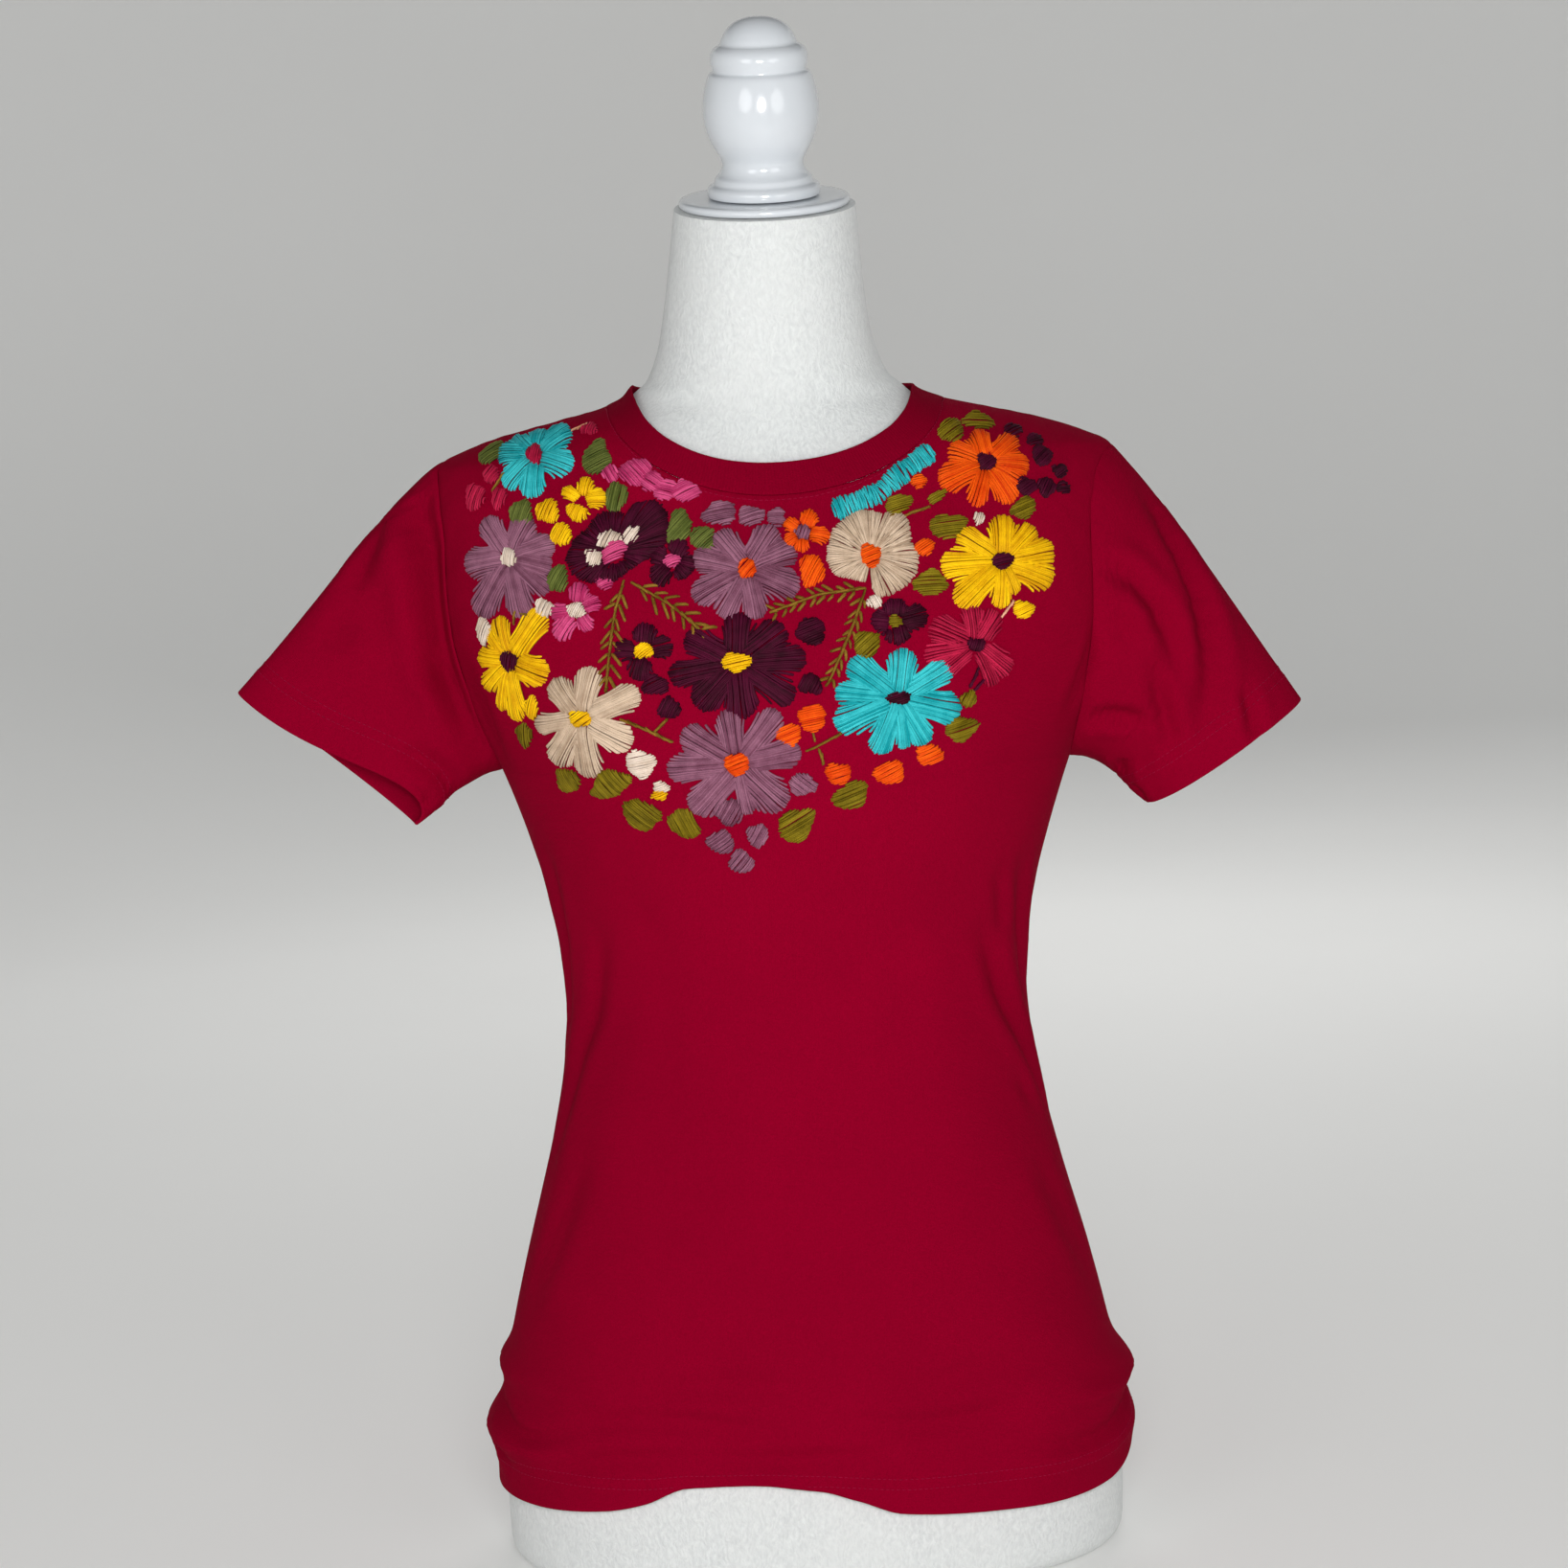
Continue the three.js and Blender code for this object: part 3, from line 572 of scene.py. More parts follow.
# Soft creases on the body: depth (a ridge is below 0), width, and places by turn and height.
BODY_CREASES = [
    (3.6, 7, [(-0.74, 400), (-0.86, 330), (-0.9, 296)]),
    (3.2, 6.5, [(-0.6, 356), (-0.68, 312), (-0.78, 278), (-0.87, 226)]),
    (3.6, 6.5, [(0.7, 384), (0.82, 337), (0.87, 308)]),
    (4.2, 6.5, [(0.58, 352), (0.7, 310), (0.82, 279), (0.9, 252), (0.95, 230)]),
    (1.8, 5, [(0.6, 384), (0.68, 344)]),
    (1.3, 5, [(0.72, 264), (0.78, 250)]),
    (-1.3, 6, [(0.66, 352), (0.77, 308), (0.86, 280)]),
    (2.2, 5, [(0.95, 93), (0.8, 98), (0.68, 103)]),
    (3.6, 5, [(0.97, 84), (0.84, 76), (0.7, 71), (0.5, 75)]),
    (3.6, 4.5, [(-0.97, 92), (-0.86, 88), (-0.74, 82), (-0.6, 85)]),
    (2.8, 4.5, [(-0.93, 80), (-0.88, 68), (-0.78, 62)]),
    (3.0, 6, [(-0.66, 70), (-0.5, 77), (-0.3, 82)]),
    (2.9, 6, [(-0.56, 97), (-0.34, 101), (-0.1, 95)]),
    (2.6, 5.5, [(-0.28, 85), (-0.02, 80), (0.2, 84)]),
    (2.6, 6, [(0.04, 100), (0.28, 95), (0.5, 100)]),
    (2.2, 7, [(-0.48, 115), (-0.2, 121), (0.06, 117)]),
    (2.0, 7, [(0.24, 117), (0.46, 122), (0.7, 115)]),
    (2.4, 6, [(0.76, 508), (0.74, 486), (0.71, 464)]),
    (2.0, 8, [(-0.8, 500), (-0.78, 470), (-0.8, 446)]),
    (1.0, 10, [(-0.45, 390), (-0.4, 330), (-0.42, 260)]),
    (0.9, 10, [(0.3, 372), (0.34, 320), (0.3, 262)]),
    (2.2, 9, [(-0.66, 240), (-0.72, 200), (-0.8, 150)]),
    (2.0, 9, [(0.72, 226), (0.78, 190), (0.84, 150)]),
    # behind
    (2.2, 8, [(1.25, 372), (1.38, 338), (1.42, 300)]),
    (2.0, 8, [(2.78, 380), (2.64, 344), (2.6, 306)]),
    (2.6, 9, [(1.5, 330), (1.85, 318), (2.2, 322), (2.45, 334)]),
    (2.2, 9, [(1.42, 290), (1.75, 276), (2.1, 278)]),
    (1.8, 8, [(2.66, 292), (2.3, 262), (2.0, 256)]),
    (1.5, 8, [(1.16, 300), (1.36, 262), (1.62, 232)]),
    (1.5, 8, [(2.88, 310), (2.74, 262), (2.5, 226)]),
    (1.3, 8, [(1.3, 190), (1.62, 178), (1.95, 184)]),
    (1.2, 9, [(2.75, 176), (2.4, 162), (2.1, 166)]),
    (1.1, 7, [(1.12, 470), (1.24, 492), (1.3, 520)]),
    (1.1, 7, [(2.9, 470), (2.78, 494), (2.72, 524)]),
    (1.1, 9, [(1.82, 560), (1.9, 500), (1.88, 440)]),
    (1.0, 9, [(2.22, 548), (2.16, 490), (2.2, 430)]),
    (1.2, 6, [(1.05, 84), (1.2, 90), (1.36, 88)]),
    (1.2, 6, [(2.94, 92), (2.8, 94), (2.62, 90)]),
]


def lengths_of(places):
    """Length along a line of places, from its start."""
    return np.concatenate(([0], np.cumsum(np.linalg.norm(np.diff(places, axis=0), axis=1))))


def curve_through(places, count):
    """Even samples of a smooth line through a few places."""
    places = np.array(places, float)
    at = lengths_of(places)
    table = {"at": at, **{str(k): places[:, k] for k in range(places.shape[1])}}
    found = read(table, np.linspace(0, at[-1], count))
    return np.stack([found[str(k)] for k in range(places.shape[1])], -1)


def body_folds():
    folds = []
    for depth, width, places in BODY_CREASES:
        line = curve_through([(turn * QUARTER_RUN, z) for turn, z in places], FOLD_SAMPLES)
        folds.append((depth, width, shirt(line[:, 0] / QUARTER_RUN, line[:, 1])))
    return folds


def pressed(points, folds):
    """How far soft folds move the cloth: a trough with a low lip on each side of it, which
    stands LIP_AWAY of the trough's own widths from its middle."""
    flat = points.reshape(-1, 3)
    moved = np.zeros(len(flat))
    for depth, width, line in folds:
        reach = 4 * width
        near = ((flat > line.min(0) - reach) & (flat < line.max(0) + reach)).all(1)
        if not near.any():
            continue
        gaps = np.linalg.norm(flat[near, None] - line[None], axis=2)
        nearest = gaps.argmin(1)
        away = gaps[np.arange(len(gaps)), nearest] / width
        fade = np.sin(np.pi * (nearest + 0.5) / len(line)) ** 0.6
        lip = LIP * bell(away - LIP_AWAY, 1)
        moved[near] -= depth * fade * (bell(away, 1) - lip)
    return moved.reshape(points.shape[:-1])


def puckers(along, seed):
    """Small uneven waves along a sewn line, from -1 to 1."""
    wave = 0 * along
    for k, length in enumerate(PUCKER_LENGTHS):
        wave += np.sin(2 * np.pi * along / length + 1.7 * k * seed + 0.9 * seed)
    return wave / 3.2


BODY_FOLDS = body_folds()


def armhole(side, climb, back):
    """Height and share of a quarter on an armhole; climb is 0 underarm, 1 at the tip."""
    angle = np.pi * np.asarray(climb, float) ** TIP_CROWDING
    top, under = SHOULDER_TIP[side], UNDER[side]
    z = (top + under) / 2 - (top - under) / 2 * np.cos(angle)
    row = read(FIGURE, z)
    depth, lengths = quarter(row, back)
    reach = np.where(back, ARMHOLE_REACH[side][1], ARMHOLE_REACH[side][0])
    deep = reach * np.abs(np.sin(angle)) ** ARMHOLE_FULLNESS
    outline = np.arccos(np.clip((deep / depth) ** (row["power"] / 2), 0, 1))
    return z, share_at(lengths, outline)


def neck_line(edge, side, back, shares):
    """Height and share on a neck line, from the middle of the front or back outwards."""
    middle = edge["back" if back else "front"]
    half = read(FIGURE, edge[side])["half"]
    angle = np.pi / 2 * np.arange(OUTLINE_STEPS + 1) / OUTLINE_STEPS
    z = edge[side] + (middle - edge[side]) * np.cos(angle) ** edge["lift"]
    row = read(FIGURE, z)
    across = np.minimum(half * np.sin(angle) / row["half"], 1)
    share = share_at(quarter(row, back)[1], np.arcsin(across ** (row["power"] / 2)))
    lengths = lengths_of(bridged(side * (2 - share if back else share), z))
    found = read({"length": lengths, "z": z, "share": share}, lengths[-1] * np.asarray(shares))
    return found["z"], found["share"]


def half_width(z, back):
    """The length of the outline from a panel's middle to its side."""
    return quarter(read(FIGURE, z), back)[1][..., -1]


def panel_places(back, climbs, holes, columns):
    """Turn and height for each point of a panel's grid."""
    across = np.linspace(0, 1, columns)
    s = 2 * across - 1
    hem = read(HEM, 2 - s if back else s)["z"]
    sides = {}
    for side in (-1, 1):
        low = read(HEM, 2 - side if back else side)["z"]
        body = low + (UNDER[side] - low) * climbs**HEM_CROWDING
        high, share = armhole(side, holes, back)
        z = np.concatenate((body, high))
        share = np.concatenate((np.ones_like(body), share))
        sides[side] = (z, side * share * half_width(z, back))
    out = np.abs(s)
    top_z = np.zeros(columns)
    top_p = np.zeros(columns)
    for side in (-1, 1):
        mine = (s < 0) == (side < 0)
        z, share = neck_line(NECK_SEAM, side, back, np.minimum(out / NECK_SHARE, 1))
        along = np.maximum((out - NECK_SHARE) / (1 - NECK_SHARE), 0)
        z = z + (SHOULDER_TIP[side] - z) * along
        share = np.where(along > 0, 1, share)
        top_z = np.where(mine, z, top_z)
        top_p = np.where(mine, side * share * half_width(z, back), top_p)
    (left_z, left_p), (right_z, right_p) = sides[-1], sides[1]
    mean = (left_z + right_z) / 2
    t = ((mean - mean[0]) / (mean[-1] - mean[0]))[:, None]
    between = left_z[:, None] + (right_z - left_z)[:, None] * across
    z = between + (hem - between[0]) * (1 - t) ** EDGE_FADE
    z += (top_z - between[-1]) * t**EDGE_FADE
    side_p = np.where(s < 0, left_p[:, None], right_p[:, None])
    shape = side_p - (1 - t) * side_p[0] - t * side_p[-1]
    straight = (1 - t) * s * half_width(hem, back) + t * top_p
    width = half_width(z, back)
    limit = width - 0.4 * SEAM_GAP
    p = np.clip(straight + out**SIDE_FADE * shape, -limit, limit)
    turn = 2 - p / width if back else p / width
    return turn, z


def run_along(points, axis):
    """Length along a grid of points, from its start, in one direction."""
    steps = np.linalg.norm(np.diff(points, axis=axis), axis=-1)
    start = np.zeros_like(np.take(steps, [0], axis))
    return np.concatenate((start, np.cumsum(steps, axis)), axis)


def turned_up(grid, out, radius, depth):
    """Adds the turned-up part of a hem to a grid that starts at its edge: a round fold and an
    inner layer as deep as the hem. Gives its count of rows too."""
    radius = np.broadcast_to(radius, grid.shape[1:2])[:, None]
    down = unit(grid[0] - grid[1])
    middle = grid[0] - out[0] * radius
    fold = []
    for angle in np.linspace(np.pi, 0, FOLD_BENDS + 2)[1:-1]:
        fold.append(middle + radius * (out[0] * np.cos(angle) + down * np.sin(angle)))
    deep = run_along(grid, 0).mean(1)
    count = int(np.searchsorted(deep, depth))
    inner = (grid[:count] - 2 * radius * out[:count])[::-1]
    return np.concatenate((inner, np.array(fold), grid)), count + FOLD_BENDS


def across_grid(grid, closed):
    """The direction straight out of a grid at each of its points, to one side or the other."""
    along = np.roll(grid, -1, 1) - np.roll(grid, 1, 1) if closed else np.gradient(grid, axis=1)
    return unit(np.cross(along, np.gradient(grid, axis=0)))


def cloth_wall(name, grid, thickness, closed, outside):
    """A closed thin wall about a grid of points, with a map in metres along the cloth. A closed
    grid joins round on itself, and outside tells which of its two faces is the outer one."""
    rows, columns = grid.shape[:2]
    out = across_grid(grid, closed)
    if (out * outside).sum() < 0:
        return cloth_wall(name, grid[:, ::-1], thickness, closed, outside[:, ::-1])
    verts = np.concatenate((grid + out * thickness / 2, grid - out * thickness / 2))
    index = np.arange(rows * columns).reshape(rows, columns)
    ring = np.concatenate((grid, grid[:, :1]), 1) if closed else grid
    if closed:
        index = np.concatenate((index, index[:, :1]), 1)
    u = run_along(ring, 1).mean(0)
    u = np.broadcast_to(u - u[-1] / 2, index.shape)
    v = np.broadcast_to(run_along(ring, 0).mean(1)[:, None], index.shape)
    place = np.stack((u, v), -1) * MM
    corners = [(slice(0, -1), slice(0, -1)), (slice(0, -1), slice(1, None)),
               (slice(1, None), slice(1, None)), (slice(1, None), slice(0, -1))]
    outer = np.stack([index[c] for c in corners], -1).reshape(-1, 4)
    outer_place = np.stack([place[c] for c in corners], -2).reshape(-1, 4, 2)
    faces = [outer, outer[:, ::-1] + rows * columns]
    places = [outer_place, outer_place[:, ::-1]]
    edges = [(index[0], place[0], 1), (index[-1], place[-1], -1)]
    if not closed:
        edges += [(index[:, 0], place[:, 0], -1), (index[:, -1], place[:, -1], 1)]
    for edge, where, way in edges:
        a, b = edge[:-1], edge[1:]
        rim = np.stack((b, a, a + rows * columns, b + rows * columns), -1)
        rim_place = np.stack((where[1:], where[:-1], where[:-1], where[1:]), -2)
        faces.append(rim[:, ::way])
        places.append(rim_place[:, ::way])
    faces = np.concatenate(faces)
    mesh = bpy.data.meshes.new(name)
    mesh.from_pydata((verts.reshape(-1, 3) * MM).tolist(), [], faces.tolist())
    layer = mesh.uv_layers.new(name="cloth")
    layer.data.foreach_set("uv", np.concatenate(places).astype(np.float32).ravel())
    mesh.shade_smooth()
    mesh.set_sharp_from_angle(angle=math.radians(60))
    return mesh


def calculate(tree, operation, *values):
    given = dict(enumerate(values))
    return add_node(tree, "ShaderNodeMath", given, operation=operation).outputs[0]


def scaled(tree, vector, by):
    given = {0: vector, "Scale": by}
    return add_node(tree, "ShaderNodeVectorMath", given, operation="SCALE").outputs[0]


def cherry_jersey(name, ribbed):
    """Plain knitted cotton, dyed cherry: rows of tiny knit loops under a short soft nap. A
    rib's loops stand in raised lines. The furrows between the loops are painted darker, painted
    shade, and the rib is painted darker all over, also painted shade."""
    made, tree, shader, place = new_finish(name, 0.95, {"Specular IOR Level": 0.02})
    flat = add_node(tree, "ShaderNodeUVMap", uv_map="cloth").outputs[0]
    split = add_node(tree, "ShaderNodeSeparateXYZ", {0: flat}).outputs
    # low and high scale the colour from the knit's furrows to its tops, painted shade; the rib's are
    # lower all over, painted shade on the whole band
    wale, raised, low, high = (0.0016, 4.5, 0.75, 0.87) if ribbed else (0.00085, 2.0, 0.9, 1.05)
    course = 0.0007
    rib = calculate(tree, "PINGPONG", calculate(tree, "DIVIDE", split[0], wale), 0.5)
    slant = calculate(tree, "MULTIPLY_ADD", split[1], 2 * math.pi / course, 0.0)
    knit = calculate(tree, "SINE", calculate(tree, "MULTIPLY_ADD", rib, 3.6, slant))
    height = calculate(tree, "MULTIPLY_ADD", rib, raised, knit)
    nap = noise(tree, place, 1500, 2, 0.7)
    worn = blend(tree, noise(tree, place, 16, 5), linear(133, 0, 34), linear(147, 0, 38))
    # painted shade: darker where the knit's relief is low
    dark = ranged(tree, height, -1.0, 2.0, low, high)
    shade = calculate(tree, "MULTIPLY", ranged(tree, nap, 0.3, 0.7, 0.86, 1.12), dark)
    fine = calculate(tree, "MULTIPLY_ADD", nap, 1.6, height)
    coat(tree, shader, scaled(tree, worn, shade), fine, 0.35, 0.00022)
    return made


def press_hem(off, gap, wave, swell):
    """Presses the twin rows of a hem into the cloth, which puckers between and beside them."""
    middle = sum(NEEDLES) / 2
    off -= (0.3 + 0.12 * wave) * bell(gap - middle, 1.9)
    off += swell * wave * bell(gap - middle, 6)
    off += 0.18 * (1 - np.tanh((gap - NEEDLES[0]) / 1.4))


def panel_grid(back):
    """A panel's outer layer from its hem's edge up, creased, with its seams dipped."""
    climbs = np.linspace(0, 1, BODY_STEPS + 1)[:-1]
    climbs = climbs ** (1 / HEM_CROWDING) * 0.4 + climbs * 0.6
    turn, z = panel_places(back, climbs, np.linspace(0, 1, HOLE_STEPS), PANEL_COLUMNS)
    base = shirt(turn, z)
    side_gap = np.minimum(run_along(base, 1), run_along(base[:, ::-1], 1)[:, ::-1])
    top_gap = run_along(base[::-1], 0)[::-1]
    hidden = read(HEM, turn)["hidden"]
    off = ease_at(turn, z) + pressed(base, BODY_FOLDS)
    off -= dip(side_gap, *SIDE_DIP) + dip(top_gap, *TOP_DIP)
    press_hem(off, run_along(base, 0) + hidden, puckers(turn * QUARTER_RUN, 1.3), 0.35)
    off += 0.12 * puckers(turn * QUARTER_RUN + 40, 2.1) * bell(side_gap, 12)
    off += 0.14 * np.sin(z / 21 + 5 * turn) * np.sin(z / 34 - 3 * turn + 1)
    if not back:  # the stitches draw the cloth of the yoke into tiny waves
        x = base[..., 0]
        above = base[..., 2] - YOKE_LOW - YOKE_SLOPE * np.abs(x - YOKE_MIDDLE)
        sewn = (1 + np.tanh(above / 15)) / 2
        small = np.sin(x / 3.1 + 2 * np.sin(z / 9)) * np.sin(z / 3.6 + 1.5 * np.sin(x / 8))
        off += 0.24 * small * sewn
    ground = bridged(turn, z)
    out = out_of(bridged, turn, z)
    grid = ground + out * np.maximum(off, LEAST_EASE)[..., None]
    return grid, out, hidden[0]


CHERRY = cherry_jersey("cherry_cotton_jersey", False)
panels = {}
for name, back in (("shirt_front", False), ("shirt_back", True)):
    outer, out, hidden = panel_grid(back)
    folded = turned_up(outer, out, FOLD_RADIUS * (1 + hidden / 16), HEM_TURNED)[0]
    panels[name] = (outer, out)
    mesh = cloth_wall(name, folded, JERSEY, False, folded * (1, 1, 0))
    made = new_piece(name + "_cloth", mesh, CHERRY)
    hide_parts(name)


# The sleeves: each a short tube of the same jersey, set into its armhole and folded flat along
# the top, with a cuff turned up like the hem. They hang empty, so they sag into soft bands from
# the armpit and buckle at the cuff's lower corner.
SLEEVES = {
    -1: {
        "name": "sleeve_left",
        "tip": (-292.5, -12, 485.5),  # of the cuff
        "corner": (-200.5, -16, 411),
        "depth": 17,
        "raise": 28,
        "cap_out": (-0.44, 0, -0.24),
        "under_out": (-0.9, 0, 0),
        "cuff_top": (-0.63, -0.05, -0.64),
        "cuff_under": (-0.72, -0.09, -0.54),
    },
    1: {
        "name": "sleeve_right",
        "tip": (278, 0, 458.5),
        "corner": (192.5, -6, 407),
        "depth": 27,
        "raise": -3,
        "cap_out": (0.58, 0, -0.67),
        "under_out": (1.15, 0, 0.06),
        "cuff_top": (0.5, 0, -0.75),
        "cuff_under": (0.63, 0, -0.63),
    },
}
SLEEVE_COLUMNS = 160
SLEEVE_STEPS = 96
SHOULDER_HALF = 175  # how far out the armholes' middles lie


def sleeve_rings(side, shares):
    """A sleeve's rings, from the armhole at share 0 to the cuff at share 1."""
    shape = {key: np.array(value) for key, value in SLEEVES[side].items() if key != "name"}
    angle = 2 * np.pi * np.arange(SLEEVE_COLUMNS) / SLEEVE_COLUMNS
    back = angle > np.pi
    z, share = armhole(side, np.abs(1 - angle / np.pi), back)
    turn = side * np.where(back, 2 - share, share)
    point = shirt(turn, z)
    out = out_of(shirt, turn, z)
    lower = ((1 - np.cos(angle)) / 2)[:, None]
    leave = shape["cap_out"] * (1 - lower) + shape["under_out"] * lower
    arrive = shape["cuff_top"] * (1 - lower) + shape["cuff_under"] * lower
    hole = np.array((side * SHOULDER_HALF, 0, (SHOULDER_TIP[side] + UNDER[side]) / 2))
    in_hole = unit(np.cross(np.roll(point, -1, 0) - np.roll(point, 1, 0), out))
    in_hole *= np.sign((in_hole * (hole - point)).sum(-1, keepdims=True))
    turned_by = np.arccos(np.clip((in_hole * unit(leave)).sum(-1, keepdims=True), -1, 1))
    start = point + unit(leave) * (SEAM_GAP / 3 + JERSEY / 2 * np.tan(turned_by / 2))
    forward = np.sin(angle)
    half = (shape["tip"] - shape["corner"]) / 2
    end = (shape["tip"] + shape["corner"]) / 2 + half * np.cos(angle)[:, None]
    end[:, 1] -= shape["depth"] * np.sign(forward) * np.abs(forward) ** 1.2
    axis = unit(shape["cuff_top"] + shape["cuff_under"])
    end -= axis * shape["raise"] * np.maximum(forward, 0)[:, None] * lower**2
    length = np.linalg.norm(start - end, axis=-1, keepdims=True)
    u = np.asarray(shares, float)[:, None, None]
    rings = start * (1 + 2 * u) * (1 - u) ** 2 + leave * length * u * (1 - u) ** 2
    return rings + end * u * u * (3 - 2 * u) + arrive * length * u * u * (u - 1)


def grid_out(grid):
    """Outward directions of a closed grid of rings."""
    out = across_grid(grid, True)
    return out * np.sign((out * (grid - grid.mean(1, keepdims=True))).sum())


# Soft creases of each sleeve: depth, width, and places by degrees round it from the top line
# towards the front, and share of its length from the armhole.
SLEEVE_CREASES = {
    -1: [
        (11.5, 9.5, [(26, 0.15), (60, 0.125), (90, 0.105), (120, 0.1), (150, 0.09)]),
        (3.6, 7, [(22, 0.3), (34, 0.42), (44, 0.5)]),
        (1.8, 8, [(46, 0.56), (60, 0.68)]),
        (-2.4, 10, [(50, 0.7), (92, 0.52)]),
        (2.4, 5, [(114, 0.26), (127, 0.13)]),
        (2.6, 5, [(112, 0.3), (124, 0.24), (140, 0.2)]),
        (3.4, 6, [(118, 0.8), (138, 0.7), (160, 0.6), (176, 0.56)]),
        (1.5, 5, [(148, 0.96), (156, 0.84)]),
        (3.0, 9, [(302, 0.2), (264, 0.15), (230, 0.2)]),
        (2.4, 8, [(200, 0.34), (230, 0.5), (264, 0.62)]),
        (1.9, 8, [(322, 0.48), (290, 0.68)]),
    ],
    1: [
        (6.0, 7.5, [(18, 0.2), (37, 0.46), (55, 0.6), (67, 0.68), (95, 0.84)]),
        (5.2, 6, [(89, 0.04), (84, 0.15), (80, 0.28), (83, 0.42), (91, 0.58)]),
        (3.0, 8, [(104, 0.1), (108, 0.2)]),
        (4.4, 4.8, [(149, 0.07), (143, 0.25), (130, 0.52)]),
        (4.0, 4.8, [(106, 0.42), (112, 0.56), (117, 0.78)]),
        (2.6, 3.6, [(168, 0.74), (170, 0.88), (172, 1.0)]),
        (2.6, 4, [(156, 0.52), (170, 0.56)]),
        (3.6, 4.2, [(55, 0.84), (70, 1.0)]),
        (3.0, 9, [(300, 0.22), (266, 0.16), (232, 0.2)]),
        (2.4, 8, [(202, 0.3), (232, 0.46), (262, 0.62)]),
        (1.9, 8, [(326, 0.42), (296, 0.66)]),
    ],
}


def sleeve_grid(side):
    """A sleeve's outer layer from its cuff's edge up, creased."""
    rings = sleeve_rings(side, np.linspace(0, 1, SLEEVE_STEPS + 1))
    folds = []
    for depth, width, places in SLEEVE_CREASES[side]:
        half_turns = [(degrees / 180, share) for degrees, share in places]
        line = curve_through(half_turns, FOLD_SAMPLES)
        column = np.round(line[:, 0] * SLEEVE_COLUMNS / 2).astype(int) % SLEEVE_COLUMNS
        row = np.round(line[:, 1] * SLEEVE_STEPS).astype(int)
        folds.append((depth, width, rings[row, column]))
    out = grid_out(rings)
    start_gap = run_along(rings, 0)
    hem_gap = run_along(rings[::-1], 0)[::-1]
    around = run_along(rings, 1)
    off = pressed(rings, BODY_FOLDS) - dip(start_gap, *SIDE_DIP)
    off += pressed(rings, folds) * (1 - bell(start_gap, 3.0))
    press_hem(off, hem_gap, puckers(around, 1.7 + side), 0.4)
    off += 0.2 * puckers(around, 2.6 - side) * bell(start_gap - 4, 8)
    seam = np.linalg.norm(rings - rings[:, [SLEEVE_COLUMNS // 2]], axis=-1)
    off -= 0.45 * bell(seam, 1.6)
    grid = rings + out * off[..., None]
    return grid[::-1], out[::-1]


sleeves = {}
for side in (-1, 1):
    name = SLEEVES[side]["name"]
    outer, out = sleeve_grid(side)
    sleeves[side] = (outer, out)
    folded, fold_rows = turned_up(outer, out, FOLD_RADIUS, HEM_TURNED)
    outside = folded - folded.mean(1, keepdims=True)
    outside[: fold_rows - FOLD_BENDS // 2] *= -1
    mesh = cloth_wall(name, folded, JERSEY, True, outside)
    made = new_piece(name + "_cloth", mesh, CHERRY)
    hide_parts(name)


# The neckband: a strip of fine cherry rib, folded double and sewn into a ring. Its folded edge
# lies free round the neck and stands off a little at the shoulders.
NECK_EDGE = {-1: 637.5, 1: 632.5, "front": 596, "back": 634, "lift": 1}
BAND_LAYER = 0.55  # from the band's middle to the middle of each of its two layers
BAND_STEPS = 40  # columns in each quarter of the ring
BAND_RINGS = 16
BAND_END = 0.985  # the last ring's share of the way to the seam
BAND_DEPTH = 15  # of its inner layer


def band_ring(share):
    """One ring of the neckband, from its folded edge at share 0 to the seam at share 1."""
    edge = {key: NECK_EDGE[key] + (NECK_SEAM[key] - NECK_EDGE[key]) * share for key in NECK_EDGE}
    turns, heights = [], []
    shares = np.arange(BAND_STEPS) / BAND_STEPS
    for side, back in ((1, False), (1, True), (-1, True), (-1, False)):
        back_to_front = back == (side > 0)
        z, along = neck_line(edge, side, back, 1 - shares if back_to_front else shares)
        turns.append(side * (2 - along if back else along))
        heights.append(z)
    turn, z = np.concatenate(turns), np.concatenate(heights)
    flare = 1.1 * (1 - share) ** 2 * bell(np.abs(np.sin(turn * np.pi / 2)) - 1, 0.3)
    out = out_of(shirt, turn, z)
    return shirt(turn, z) + out * flare[:, None], out


def neckband():
    rings = [band_ring(share) for share in np.linspace(0, BAND_END, BAND_RINGS)]
    middle = np.array([ring for ring, out in rings])
    out = np.array([out for ring, out in rings])
    outer = middle + out * (BAND_LAYER - dip(run_along(middle[::-1], 0)[::-1], *TOP_DIP)[..., None])
    return turned_up(outer, out, BAND_LAYER, BAND_DEPTH)[0], out


RIB = cherry_jersey("cherry_rib", True)
folded, band_out = neckband()
outside = np.zeros_like(folded)
outside[-BAND_RINGS:] = band_out
mesh = cloth_wall("neckband", folded, JERSEY, True, outside)
made = new_piece("neckband_cloth", mesh, RIB)
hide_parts("neckband")


# The seam allowances: the cut edges of the front and back, overlocked, which lie inside every
# seam and close the fine lines between the sewn pieces from within.
TAPE = 0.35  # thickness of an overlocked edge
TAPE_LINES = 4  # lines of a panel's grid that a strip lies under
TAPE_UNDER = (JERSEY + TAPE + 0.06) / 2  # from the cloth's middle to the strip's


def seam_tape(edge, out):
    """A strip under the outermost lines of a grid; edge[:, 0] is the seam's own line."""
    inner = edge - out * TAPE_UNDER
    past = inner[:, :1] + unit(inner[:, :1] - inner[:, 1:2]) * 0.9
    outside = np.concatenate((out[:, :1], out), 1)
    return cloth_wall("tape", np.concatenate((past, inner), 1), TAPE, False, outside)


def joined(name, meshes):
    """One mesh of several."""
    whole = bmesh.new()
    for mesh in meshes:
        whole.from_mesh(mesh)
        bpy.data.meshes.remove(mesh)
    made = bpy.data.meshes.new(name)
    whole.to_mesh(made)
    whole.free()
    return made


